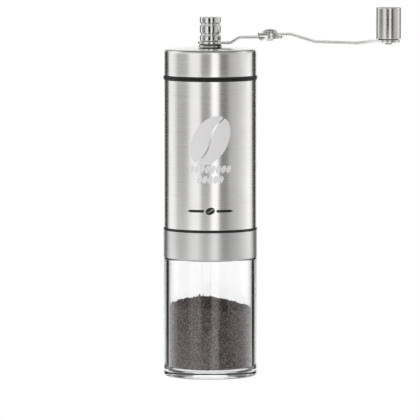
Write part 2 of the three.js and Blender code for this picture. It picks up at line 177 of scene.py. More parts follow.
class GeometryRecipe:
    """A Geometry Nodes tree with named sizes that is turned into a plain mesh."""

    def __init__(self, name: str) -> None:
        """Starts an empty tree with one geometry input and output.

        Args:
            name: the tree's name.
        """
        self.tree = bpy.data.node_groups.new(name, "GeometryNodeTree")
        self.identifiers: dict[str, str] = {}
        for way in ("INPUT", "OUTPUT"):
            self.tree.interface.new_socket("Geometry", in_out=way, socket_type="NodeSocketGeometry")
        self.entry = self.tree.nodes.new("NodeGroupInput")

    def size(self, name: str, kind: str = "NodeSocketFloat") -> Socket:
        """Adds a named input and returns its socket inside the tree.

        Args:
            name: the input's name.
            kind: the input's socket type.

        Returns:
            The socket that gives the value inside the tree.
        """
        socket = self.tree.interface.new_socket(name, in_out="INPUT", socket_type=kind)
        self.identifiers[name] = socket.identifier
        return self.entry.outputs[name]

    def add(self, kind: str, sockets: dict | None = None, **settings: object) -> Node:
        """Adds a node to this tree."""
        return add_node(self.tree, kind, sockets, **settings)

    def finish(self, geometry: Socket, material: Material) -> None:
        """Ends the tree in Realize Instances, Set Material and its output.

        Args:
            geometry: socket with the finished geometry.
            material: material that it gets.
        """
        real = self.add("GeometryNodeRealizeInstances", {"Geometry": geometry})
        dressed = self.add("GeometryNodeSetMaterial", {"Geometry": real.outputs[0]})
        dressed.inputs["Material"].default_value = material
        output = self.tree.nodes.new("NodeGroupOutput")
        self.tree.links.new(dressed.outputs[0], output.inputs[0])

    def bake(self, piece: Piece, sizes: dict[str, object]) -> Piece:
        """Runs the tree on a piece and keeps the result as its plain mesh.

        Args:
            piece: the object whose mesh feeds the tree and is replaced.
            sizes: a value for each named input.

        Returns:
            The same object.
        """
        modifier = piece.modifiers.new(self.tree.name, "NODES")
        modifier.node_group = self.tree
        for name, value in sizes.items():
            modifier[self.identifiers[name]] = value
        bpy.context.view_layer.update()
        graph = bpy.context.evaluated_depsgraph_get()
        mesh = bpy.data.meshes.new_from_object(piece.evaluated_get(graph))
        piece.modifiers.remove(modifier)
        piece.data = mesh
        mesh.name = piece.name
        return piece


# ---------------------------------------------------------------- finishes


class Grain(Enum):
    """How a metal surface was worked, as the stretch of its pattern along X, Y and Z."""

    ROUND_Z = (40.0, 40.0, 5200.0)
    NONE = (700.0, 700.0, 700.0)


@dataclass(frozen=True)
class Finish:
    """A material of one real surface. Subclasses add their own pattern.

    Args:
        name: the material's plain name.
        colour: base colour as an sRGB hex value.
        roughness: middle roughness.
    """

    name: str
    colour: str
    roughness: float

    def make(self) -> Material:
        """Builds the material's node tree and returns the material.

        Returns:
            The new material.
        """
        material = bpy.data.materials.new(self.name)
        material.use_nodes = True
        tree = material.node_tree
        tree.nodes.clear()
        shader = add_node(tree, "ShaderNodeBsdfPrincipled")
        shader.inputs["Base Color"].default_value = linear(self.colour)
        shader.inputs["Roughness"].default_value = self.roughness
        self.pattern(tree, shader)
        output = add_node(tree, "ShaderNodeOutputMaterial")
        tree.links.new(shader.outputs[0], output.inputs["Surface"])
        return material

    def pattern(self, tree: Tree, shader: Node) -> None:
        """Adds the surface's own pattern to the shader. The plain finish has none."""


def place(tree: Tree, scale: Sequence[float]) -> Socket:
    """Object coordinates stretched by a scale per axis, in features per metre.

    Args:
        tree: the node tree.
        scale: features per metre along each axis.

    Returns:
        The socket with the coordinates.
    """
    where = add_node(tree, "ShaderNodeTexCoord")
    stretch = add_node(
        tree, "ShaderNodeMapping", {"Vector": where.outputs["Object"], "Scale": tuple(scale)}
    )
    return stretch.outputs[0]


def noise(
    tree: Tree, scale: Sequence[float], detail: float = 3.0
) -> Socket:
    """A noise value between 0 and 1 with so many features per metre along each axis.

    Args:
        tree: the node tree.
        scale: features per metre along each axis.
        detail: layers of finer noise.

    Returns:
        The socket with the value.
    """
    texture = add_node(
        tree,
        "ShaderNodeTexNoise",
        {"Vector": place(tree, scale), "Scale": 1.0, "Detail": detail, "Roughness": 0.6},
    )
    return texture.outputs[0]


def spread(
    tree: Tree, value: Socket, low: float, high: float
) -> Socket:
    """Maps the useful middle of a noise value to a range.

    Args:
        tree: the node tree.
        value: socket with the noise value.
        low: result at its low end.
        high: result at its high end.

    Returns:
        The socket with the result.
    """
    mapped = add_node(
        tree,
        "ShaderNodeMapRange",
        {"Value": value, "From Min": 0.3, "From Max": 0.7, "To Min": low, "To Max": high},
    )
    return mapped.outputs[0]


def tint(tree: Tree, value: Socket, colours: Sequence[str]) -> Socket:
    """Colours a noise value with evenly spaced stops between 0.3 and 0.7.

    Args:
        tree: the node tree.
        value: socket with the noise value.
        colours: the stops, as hex values.

    Returns:
        The socket with the colour.
    """
    ramp = add_node(tree, "ShaderNodeValToRGB", {"Fac": value})
    stops = ramp.color_ramp.elements
    for index, colour in enumerate(colours):
        position = 0.3 + 0.4 * index / (len(colours) - 1)
        stop = stops[index] if index < len(stops) else stops.new(position)
        stop.position = position
        stop.color = linear(colour)
    return ramp.outputs[0]


def bump(
    tree: Tree,
    shader: Node,
    height: Socket,
    depth_mm: float,
    strength: float,
) -> None:
    """Links a bump of a real depth in millimetres to the shader.

    Args:
        tree: the node tree.
        shader: its principled shader.
        height: socket with the height, from 0 to 1.
        depth_mm: real depth of the relief.
        strength: how strongly it shows.
    """
    relief = add_node(
        tree,
        "ShaderNodeBump",
        {"Height": height, "Distance": depth_mm * MM, "Strength": strength},
    )
    tree.links.new(relief.outputs[0], shader.inputs["Normal"])


@dataclass(frozen=True)
class WorkedMetal(Finish):
    """Solid metal with the fine lines of its working, as brushing or turning leaves.

    The lines blur reflections across themselves and keep them sharp along themselves.
    """

    dark: str = "a9a7a3"
    grain: Grain = Grain.ROUND_Z
    anisotropy: float = 0.7
    turn: float = 0.25
    depth_mm: float = 0.004
    contrast: float = 0.06

    def pattern(self, tree: Tree, shader: Node) -> None:
        """Adds streaks to colour and roughness, fine relief and stretched highlights.

        Args:
            tree: the node tree.
            shader: its principled shader.
        """
        lines = noise(tree, self.grain.value, 4.0)
        patches = noise(tree, (45.0, 45.0, 30.0), 2.0)
        blend = add_node(
            tree, "ShaderNodeMath", {0: lines, 1: patches}, operation="ADD", use_clamp=False
        )
        half = add_node(tree, "ShaderNodeMath", {0: blend.outputs[0], 1: 0.5}, operation="MULTIPLY")
        colour = tint(tree, half.outputs[0], (self.dark, self.colour))
        tree.links.new(colour, shader.inputs["Base Color"])
        low, high = self.roughness - self.contrast, self.roughness + self.contrast
        tree.links.new(spread(tree, lines, low, high), shader.inputs["Roughness"])
        bump(tree, shader, lines, self.depth_mm, 0.5)
        shader.inputs["Metallic"].default_value = 1.0
        if self.anisotropy:
            tangent = add_node(tree, "ShaderNodeTangent", direction_type="RADIAL", axis="Z")
            shader.inputs["Anisotropic"].default_value = self.anisotropy
            shader.inputs["Anisotropic Rotation"].default_value = self.turn
            tree.links.new(tangent.outputs[0], shader.inputs["Tangent"])


@dataclass(frozen=True)
class ClearGlass(Finish):
    """Pressed glass, polished by fire: clear, with faint ripples from the mould."""

    def pattern(self, tree: Tree, shader: Node) -> None:
        """Adds the clear body and its slow ripples.

        Args:
            tree: the node tree.
            shader: its principled shader.
        """
        shader.inputs["Transmission Weight"].default_value = 1.0
        shader.inputs["IOR"].default_value = 1.5
        ripple = noise(tree, (60.0, 60.0, 90.0), 1.0)
        film = noise(tree, (160.0, 160.0, 110.0), 4.0)
        roughness = spread(tree, film, self.roughness * 0.5, self.roughness * 1.8)
        tree.links.new(roughness, shader.inputs["Roughness"])
        bump(tree, shader, ripple, 0.05, 0.25)


@dataclass(frozen=True)
class Moulded(Finish):
    """Injection moulded plastic or rubber with the mould's fine spark texture."""

    light: str = "2a2a2b"
    texture_mm: float = 0.18
    depth_mm: float = 0.02

    def pattern(self, tree: Tree, shader: Node) -> None:
        """Adds the mould texture and a little colour and gloss variation.

        Args:
            tree: the node tree.
            shader: its principled shader.
        """
        cells = noise(tree, [1 / (self.texture_mm * MM)] * 3, 2.0)
        cloud = noise(tree, (120.0, 120.0, 120.0), 3.0)
        colour = tint(tree, cloud, (self.colour, self.light))
        tree.links.new(colour, shader.inputs["Base Color"])
        gloss = spread(tree, cloud, self.roughness - 0.06, self.roughness + 0.06)
        tree.links.new(gloss, shader.inputs["Roughness"])
        bump(tree, shader, cells, self.depth_mm, 0.35)


@dataclass(frozen=True)
class Fired(Finish):
    """Unglazed alumina, pressed and fired: matt, nearly white, with a fine sandy grain."""

    speck: str = "cfc9bd"

    def pattern(self, tree: Tree, shader: Node) -> None:
        """Adds sandy grain and faint specks.

        Args:
            tree: the node tree.
            shader: its principled shader.
        """
        sand = noise(tree, (4500.0, 4500.0, 4500.0), 2.0)
        cloud = noise(tree, (300.0, 300.0, 300.0), 4.0)
        tree.links.new(tint(tree, cloud, (self.speck, self.colour)), shader.inputs["Base Color"])
        shader.inputs["Subsurface Weight"].default_value = 0.05
        bump(tree, shader, sand, 0.02, 0.3)


@dataclass(frozen=True)
class GroundBeans(Finish):
    """Dark roast, ground coarse: each grain has its own brown, with pale chaff between."""

    browns: tuple[str, ...] = ("2c2829", "454041", "5c5556", "93807a")

    def pattern(self, tree: Tree, shader: Node) -> None:
        """Gives every grain its own shade through cells about one grain wide.

        Args:
            tree: the node tree.
            shader: its principled shader.
        """
        cells = add_node(
            tree,
            "ShaderNodeTexVoronoi",
            {"Vector": place(tree, (2600.0, 2600.0, 2600.0)), "Scale": 1.0},
            feature="F1",
        )
        grey = add_node(tree, "ShaderNodeRGBToBW", {"Color": cells.outputs["Color"]})
        tree.links.new(tint(tree, grey.outputs[0], self.browns), shader.inputs["Base Color"])
        bump(tree, shader, noise(tree, (3200.0, 3200.0, 3200.0), 3.0), 0.15, 0.5)


@dataclass(frozen=True)
class Ink(Finish):
    """Printed ink or an etched, frosted area: even, with a slightly worn surface."""

    metallic: float = 0.0

    def pattern(self, tree: Tree, shader: Node) -> None:
        """Adds a worn, slightly uneven surface.

        Args:
            tree: the node tree.
            shader: its principled shader.
        """
        worn = noise(tree, (1500.0, 1500.0, 1500.0), 4.0)
        gloss = spread(tree, worn, self.roughness - 0.08, self.roughness + 0.08)
        tree.links.new(gloss, shader.inputs["Roughness"])
        shader.inputs["Metallic"].default_value = self.metallic
        bump(tree, shader, worn, 0.01, 0.3)


class Dresser:
    """Keeps one material for each finish, made when it is first asked for."""

    FINISHES = (
        WorkedMetal(
            "brushed_stainless_tube", "ecebea", 0.27, dark="dad9d7", anisotropy=0.8,
            depth_mm=0.0012, contrast=0.04,
        ),
        WorkedMetal(
            "brushed_stainless_band", "dededd", 0.40, dark="cbcbca", anisotropy=0.7,
            depth_mm=0.0015, contrast=0.04,
        ),
        WorkedMetal(
            "polished_stainless", "dededd", 0.07, dark="d2d1cf", grain=Grain.NONE, anisotropy=0.0,
            depth_mm=0.002, contrast=0.02,
        ),
        WorkedMetal(
            "tumbled_stainless", "e2e1df", 0.2, dark="cfcdca", grain=Grain.NONE, anisotropy=0.0,
            depth_mm=0.01, contrast=0.05,
        ),
        WorkedMetal("turned_steel", "b9b8b5", 0.28, dark="9d9b98", anisotropy=0.4),
        WorkedMetal("turned_brass", "c9a75c", 0.3, dark="ad8a45", anisotropy=0.4),
        WorkedMetal(
            "polished_cap_top", "d8d8d7", 0.06, dark="cfcfcd", grain=Grain.NONE, anisotropy=0.0,
            depth_mm=0.001, contrast=0.02,
        ),
        WorkedMetal("satin_grip", "d8d7d4", 0.2, dark="c6c4c1", anisotropy=0.3, depth_mm=0.002),
        WorkedMetal(
            "polished_end", "dededd", 0.1, dark="d2d1cf", grain=Grain.NONE, anisotropy=0.0,
            depth_mm=0.002, contrast=0.03,
        ),
        ClearGlass("clear_glass", "ffffff", 0.008),
        Moulded("black_abs", "0b0b0c", 0.42, light="19191a"),
        Moulded("natural_nylon", "d9d3c6", 0.5, light="e6e1d6"),
        Moulded("black_silicone", "060606", 0.45, light="101011"),
        Fired("fired_alumina", "efece4", 0.55),
        GroundBeans("ground_dark_roast", "2a211d", 0.75),
        Ink("etched_stainless", "efedee", 0.6, metallic=0.0),
        Ink("black_print", "0c0c0d", 0.35),
    )

    def __init__(self) -> None:
        """Starts with no material made."""
        self.finishes = {finish.name: finish for finish in self.FINISHES}
        self.made: dict[str, Material] = {}

    def material(self, name: str) -> Material:
        """The material of one finish.

        Args:
            name: the finish's name.

        Returns:
            Its material, which is made on first use.
        """
        if name not in self.made:
            self.made[name] = self.finishes[name].make()
        return self.made[name]


DRESSER = Dresser()


# ---------------------------------------------------------------- mesh tools


def fillet(before: Vector, corner: Vector, after: Vector, radius: float, steps: int) -> Profile:
    """Points of a round corner between two straight runs.

    Args:
        before: point before the corner.
        corner: the sharp corner.
        after: point after the corner.
        radius: radius of the round.
        steps: number of straight pieces in it.

    Returns:
        The points from the first tangent point to the last.
    """
    back, on = (before - corner).normalized(), (after - corner).normalized()
    half = back.angle(on) / 2
    if half > math.radians(89.5):
        return [tuple(corner)]
    room = 0.49 * min((before - corner).length, (after - corner).length)
    reach = min(radius / math.tan(half), room)
    size = reach * math.tan(half)
    centre = corner + (back + on).normalized() * size / math.sin(half)
    start, end = corner + back * reach - centre, corner + on * reach - centre
    first = math.atan2(start.y, start.x)
    sweep = math.remainder(math.atan2(end.y, end.x) - first, FULL_TURN)
    angles = [first + sweep * step / steps for step in range(steps + 1)]
    return [(centre.x + size * math.cos(a), centre.y + size * math.sin(a)) for a in angles]


def rounded(corners: Sequence[Sequence[float]], closed: bool = True, steps: int = 5) -> Profile:
    """A line through corners, each rounded by its own radius.

    Args:
        corners: (x, y) or (x, y, radius) for each corner.
        closed: whether the last corner joins the first.
        steps: straight pieces in each round.

    Returns:
        The line's points.
    """
    points: Profile = []
    count = len(corners)
    for index, corner in enumerate(corners):
        radius = corner[2] if len(corner) > 2 else 0.0
        ends = not closed and index in (0, count - 1)
        if radius <= 0 or ends:
            points.append((corner[0], corner[1]))
            continue
        before, after = corners[index - 1], corners[(index + 1) % count]
        trio = [Vector(p[:2]) for p in (before, corner, after)]
        points += fillet(*trio, radius, steps)
    return points


def smooth(mesh: bpy.types.Mesh, angle: float = SMOOTH_ANGLE) -> None:
    """Shades a mesh smooth, but for the edges sharper than an angle."""
    mesh.polygons.foreach_set("use_smooth", [True] * len(mesh.polygons))
    mesh.set_sharp_from_angle(angle=angle)


def finish_piece(name: str, shape: Shape, finish: str) -> Piece:
    """Turns a shape in millimetres into a clean, smooth, dressed object in metres.

    Args:
        name: the object's name.
        shape: the shape, which is freed.
        finish: name of its finish.

    Returns:
        The new object.
    """
    bmesh.ops.remove_doubles(shape, verts=shape.verts, dist=1e-4)
    bmesh.ops.recalc_face_normals(shape, faces=shape.faces)
    bmesh.ops.scale(shape, vec=(MM, MM, MM), verts=shape.verts)
    mesh = bpy.data.meshes.new(name)
    shape.to_mesh(mesh)
    shape.free()
    smooth(mesh)
    mesh.materials.append(DRESSER.material(finish))
    piece = bpy.data.objects.new(name, mesh)
    bpy.context.scene.collection.objects.link(piece)
    return piece


def turned(
    profile: Profile,
    segments: int = ROUND_NARROW,
    rule: RadiusRule | None = None,
    centre: Point = (0.0, 0.0),
) -> Shape:
    """Turns a profile about a vertical line.

    Args:
        profile: (radius, height) points. A profile that starts on the axis ends there too; any
            other is the section of a ring.
        segments: sides round the axis.
        rule: a radius worked out from angle, radius and height, for lobes, teeth or flats.
        centre: where the vertical line stands.

    Returns:
        The closed shape in millimetres.
    """
    shape = bmesh.new()
    rings: list[list[bmesh.types.BMVert]] = []
    for radius, height in profile:
        if radius < 1e-6:
            rings.append([shape.verts.new((*centre, height))] * segments)
            continue
        loop = []
        for step in range(segments):
            angle = FULL_TURN * step / segments
            r = rule(angle, radius, height) if rule else radius
            x, y = centre[0] + r * math.cos(angle), centre[1] + r * math.sin(angle)
            loop.append(shape.verts.new((x, y, height)))
        rings.append(loop)
    on_axis = profile[0][0] < 1e-6
    pairs = list(zip(rings, rings[1:]))
    if not on_axis:
        pairs.append((rings[-1], rings[0]))
    for low, high in pairs:
        for step in range(segments):
            after = (step + 1) % segments
            corners = dict.fromkeys((low[step], low[after], high[after], high[step]))
            if len(corners) > 2:
                shape.faces.new(list(corners))
    return shape


def ring(r_in: float, r_out: float, foot: float, top: float, edge: float) -> Profile:
    """The section of a plain ring with rounded edges."""
    return rounded([(r_in, foot, edge), (r_out, foot, edge), (r_out, top, edge), (r_in, top, edge)])


def ring_of(extent: Extent, r_in: float, edge: float) -> Profile:
    """The section of a plain ring as high and as wide as a frame node."""
    return ring(r_in, extent.radius, extent.foot, extent.top, edge)


def hexagon(flat: float, corner_cut: float) -> RadiusRule:
    """A radius rule that leaves six flats, each at a distance, inside a round bar.

    Args:
        flat: distance of each flat from the axis.
        corner_cut: radius that the corners are cut to.

    Returns:
        The radius rule.
    """

    def rule(angle: float, radius: float, height: float) -> float:
        """The radius of the hexagon, or of the bar where that is smaller."""
        off_flat = math.remainder(angle, math.pi / 3)
        return min(flat / math.cos(off_flat), corner_cut, radius)

    return rule


def circle(centre: Point, radius: float, steps: int = 48) -> Profile:
    """Points of a circle in plan.

    Args:
        centre: its centre.
        radius: its radius.
        steps: number of points.

    Returns:
        The points, counter-clockwise.
    """
    turn = FULL_TURN / steps
    return [
        (centre[0] + radius * math.cos(turn * i), centre[1] + radius * math.sin(turn * i))
        for i in range(steps)
    ]


def stamped(
    outline: Profile,
    holes: Sequence[Profile],
    thickness: float,
    edge: float,
    cuts: dict[str, Sequence[float]],
    warp: Warp,
) -> Shape:
    """Sheet metal: a flat outline with holes, given a thickness and soft edges, then bent.

    Args:
        outline: the outer line in plan.
        holes: the lines of its holes.
        thickness: sheet thickness.
        edge: size of the soft edge.
        cuts: places along "x" and "y" where the sheet may bend.
        warp: moves a point of the flat sheet to where bending takes it.

    Returns:
        The closed shape in millimetres.
    """
    shape = bmesh.new()
    for loop in (outline, *holes):
        verts = [shape.verts.new((x, y, 0.0)) for x, y in loop]
        for one, other in zip(verts, verts[1:] + verts[:1]):
            shape.edges.new((one, other))
    bmesh.ops.triangle_fill(shape, edges=shape.edges, use_beauty=True, use_dissolve=False)
    top = bmesh.ops.extrude_face_region(shape, geom=shape.faces[:])
    risen = [item for item in top["geom"] if isinstance(item, bmesh.types.BMVert)]
    bmesh.ops.translate(shape, vec=(0, 0, thickness), verts=risen)
    bmesh.ops.recalc_face_normals(shape, faces=shape.faces)
    if edge > 0:
        rim = [e for e in shape.edges if abs(e.calc_face_angle(0.0)) > math.radians(60)]
        bmesh.ops.bevel(
            shape, geom=rim, offset=edge, segments=3, profile=0.5, affect="EDGES",
            clamp_overlap=True,
        )
    for axis, normal in (("x", (1, 0, 0)), ("y", (0, 1, 0))):
        for place_at in cuts.get(axis, ()):
            everything = shape.verts[:] + shape.edges[:] + shape.faces[:]
            bmesh.ops.bisect_plane(
                shape, geom=everything, plane_co=Vector(normal) * place_at, plane_no=normal,
                dist=1e-4,
            )
    for vert in shape.verts:
        vert.co = warp(vert.co)
    return shape


def merged(shapes: Sequence[Shape]) -> Shape:
    """Puts several shapes in one, and frees the others.

    Args:
        shapes: the shapes. The first takes in the others.

    Returns:
        The first shape.
    """
    whole = shapes[0]
    for extra in shapes[1:]:
        holder = bpy.data.meshes.new("extra")
        extra.to_mesh(holder)
        whole.from_mesh(holder)
        bpy.data.meshes.remove(holder)
        extra.free()
    return whole


def add_mesh(piece: Piece, extra: Piece) -> None:
    """Moves the mesh of an extra object of the same finish into a piece, and removes the extra.

    Args:
        piece: the piece that grows.
        extra: the object that is used up.
    """
    shape = bmesh.new()
    shape.from_mesh(piece.data)
    shape.from_mesh(extra.data)
    shape.to_mesh(piece.data)
    shape.free()
    bpy.data.objects.remove(extra)
    smooth(piece.data)


def settle(piece: Piece, body: str, slot: str, *nodes: str) -> None:
    """Makes a finished piece ride on a body, in place of frame nodes, and reports it.

    Args:
        piece: the finished piece.
        body: the frame body that it moves with.
        slot: the record's material slot; not used.
        nodes: the frame nodes that it stands for.
    """
    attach(piece, body)
    if nodes:
        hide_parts(*nodes)
    LOG.info("%s: %d faces on %s", piece.name, len(piece.data.polygons), body)


def turn_piece(
    name: str,
    profile: Profile,
    finish: str,
    home: tuple[str, str, str],
    segments: int = ROUND_NARROW,
    rule: RadiusRule | None = None,
    centre: Point = (0.0, 0.0),
) -> Piece:
    """A turned piece, finished and settled.

    Args:
        name: the object's name.
        profile: (radius, height) points, as turned() takes them.
        finish: name of its finish.
        home: its body, its material slot and the frame node that it stands for.
        segments: sides round the axis.
        rule: a radius rule, as turned() takes it.
        centre: where its axis stands.

    Returns:
        The new object.
    """
    piece = finish_piece(name, turned(profile, segments, rule, centre), finish)
    settle(piece, *home)
    return piece


def dress_above(piece: Piece, finish: str, height: float) -> None:
    """Gives a second finish to the faces whose middle lies above a height.

    Args:
        piece: the piece.
        finish: name of the second finish.
        height: the height in millimetres.
    """
    piece.data.materials.append(DRESSER.material(finish))
    for face in piece.data.polygons:
        if face.center.z > height * MM:
            face.material_index = 1


# ---------------------------------------------------------------- repeated features


def helix_recipe(finish: str, sides: int) -> GeometryRecipe:
    """A rod wound on a helix about Z, for springs and thread ridges.

    Args:
        finish: name of the finish.
        sides: sides round the rod's section.

    Returns:
        The finished recipe.
    """
    recipe = GeometryRecipe("wound_rod")
    line = recipe.add(
        "GeometryNodeCurveSpiral",
        {
            "Resolution": 64,
            "Rotations": recipe.size("turns"),
            "Start Radius": recipe.size("start radius"),
            "End Radius": recipe.size("end radius"),
            "Height": recipe.size("rise"),
            "Reverse": True,
        },
    )
    section = recipe.add(
        "GeometryNodeCurvePrimitiveCircle",
        {"Resolution": sides, "Radius": recipe.size("rod radius")},
    )
    rod = recipe.add(
        "GeometryNodeCurveToMesh",
        {"Curve": line.outputs[0], "Profile Curve": section.outputs[0], "Fill Caps": True},
    )
    turn = recipe.add("ShaderNodeCombineXYZ", {"Z": recipe.size("turned by")})
    lift = recipe.add("ShaderNodeCombineXYZ", {"Z": recipe.size("foot")})
    placed = recipe.add(
        "GeometryNodeTransform",
        {"Geometry": rod.outputs[0], "Translation": lift.outputs[0], "Rotation": turn.outputs[0]},
    )
    recipe.finish(placed.outputs[0], DRESSER.material(finish))
    return recipe


def wound_rod(
    name: str, finish: str, radius: float, rod: float, foot: float, rise: float, turns: float,
    turned_by: float = 0.0, sides: int = 12,
) -> Piece:
    """A rod wound on a right-handed helix.

    Args:
        name: the piece's name.
        finish: name of its finish.
        radius: radius of the helix.
        rod: radius of the rod itself.
        foot: height where it starts.
        rise: how far it climbs.
        turns: number of turns.
        turned_by: angle where it starts.
        sides: sides of the rod.

    Returns:
        The piece.
    """
    piece = bpy.data.objects.new(name, bpy.data.meshes.new(name))
    bpy.context.scene.collection.objects.link(piece)
    sizes = {
        "turns": turns, "start radius": radius * MM, "end radius": radius * MM, "rise": rise * MM,
        "rod radius": rod * MM, "turned by": turned_by, "foot": foot * MM,
    }
    helix_recipe(finish, sides).bake(piece, sizes)
    smooth(piece.data, ROD_SMOOTH_ANGLE)
    return piece


def repeat_round(piece: Piece, finish: str, count: int, start: float) -> None:
    """Repeats a piece's mesh round the Z axis.

    Args:
        piece: the piece, with its mesh in the first place.
        finish: name of its finish.
        count: how many stand round the axis.
        start: angle added to all of them.
    """
    recipe = GeometryRecipe("repeat_round")
    number = recipe.size("count", "NodeSocketInt")
    points = recipe.add("GeometryNodePoints", {"Count": number})
    index = recipe.add("GeometryNodeInputIndex")
    step = recipe.add("ShaderNodeMath", {0: FULL_TURN, 1: number}, operation="DIVIDE")
    angle = recipe.add(
        "ShaderNodeMath",
        {0: index.outputs[0], 1: step.outputs[0], 2: recipe.size("start")},
        operation="MULTIPLY_ADD",
    )
    turn = recipe.add("ShaderNodeCombineXYZ", {"Z": angle.outputs[0]})
    copies = recipe.add(
        "GeometryNodeInstanceOnPoints",
        {
            "Points": points.outputs[0],
            "Instance": recipe.entry.outputs["Geometry"],
            "Rotation": turn.outputs[0],
        },
    )
    recipe.finish(copies.outputs[0], DRESSER.material(finish))
    recipe.bake(piece, {"count": count, "start": start})


# ---------------------------------------------------------------- jar


@dataclass
class Jar:
    """The glass jar with its steel band, thread ring and gasket."""

    wall: float = 2.6
    floor: float = 3.7
    base_edge: float = 1.5
    inner_fillet: float = 2.5
    neck_radius: float = 23.6
    mouth_radius: float = 21.6
    step: Point = (0.6, 2.6)
    sheet: float = 0.8
    thread_lead: float = 6.0
    thread_starts: int = 2
    glass: Extent = node_extent("glass_jar")
    band: Extent = node_extent("jar_band")
    threads: Extent = node_extent("jar_thread_ring")
    gasket: Extent = node_extent("jar_gasket")

    @property
    def shoulder(self) -> float:
        """Height of the jar's shoulder, just under the band."""
        return self.band.foot - 0.3

    @property
    def bore(self) -> float:
        """Inside radius of the jar."""
        return self.glass.radius - self.wall

    def build(self) -> None:
        """Builds every piece of the jar."""
        self.build_glass()
        self.build_band()
        self.build_thread_ring()
        self.build_gasket()

    def build_glass(self) -> None:
        """The pressed glass, thick at its flat floor and narrower at its neck."""
        outside, inside = self.glass.radius, self.bore
        profile = rounded(
            [
                (0, 0),
                (outside, 0, self.base_edge),
                (outside, self.shoulder, 0.6),
                (self.neck_radius, self.shoulder, 0.3),
                (self.neck_radius, self.glass.top, 0.5),
                (self.mouth_radius, self.glass.top, 0.5),
                (self.mouth_radius, self.shoulder + self.step[1], 0.8),
                (inside, self.shoulder + self.step[0], 0.8),
                (inside, self.floor, self.inner_fillet),
                (0, self.floor),
            ],
            closed=False,
            steps=8,
        )
        turn_piece("jar_glass", profile, "clear_glass", ("jar", "glass", "glass_jar"), ROUND_WIDE)

    def build_band(self) -> None:
        """The steel band round the neck, with soft rolled edges."""
        outside = self.band.radius
        profile = rounded(
            [
                (outside - self.sheet, self.band.foot, 0.1),
                (outside, self.band.foot, 0.35),
                (outside, self.band.top, 0.25),
                (outside - self.sheet, self.band.top, 0.1),
            ]
        )
        turn_piece(
            "neck_band", profile, "brushed_stainless_band", ("jar", "brushed_steel", "jar_band"),
            ROUND_WIDE,
        )

    def build_thread_ring(self) -> None:
        """The plastic ring in the band, with the two-start female thread."""
        outside, top = self.threads.radius, self.threads.top
        glued, step = self.neck_radius + 0.3, self.glass.top + 0.3
        bore = Extent.of("mill_housing").radius - 2.55
        profile = rounded(
            [
                (glued, self.threads.foot), (outside, self.threads.foot), (outside, top, 0.2),
                (bore, top, 0.5), (bore, step, 0.1), (glued, step, 0.1),
            ]
        )
        piece = finish_piece("thread_ring", turned(profile, ROUND_WIDE), "black_abs")
        for start in range(self.thread_starts):
            ridge = wound_rod(
                f"female_ridge_{start}", "black_abs", bore + 0.28, 0.4, step + 1.4,
                self.thread_lead * 1.05, 1.05, FULL_TURN * (start + 0.5) / self.thread_starts, 8,
            )
            add_mesh(piece, ridge)
        settle(piece, "jar", "black_plastic", "jar_thread_ring")

    def build_gasket(self) -> None:
        """The flat silicone ring between the rim and the mill."""
        profile = ring_of(self.gasket, self.mouth_radius + 0.1, 0.3)
        turn_piece(
            "rim_gasket", profile, "black_silicone", ("jar_gasket", "rubber", "jar_gasket"),
            ROUND_WIDE,
        )


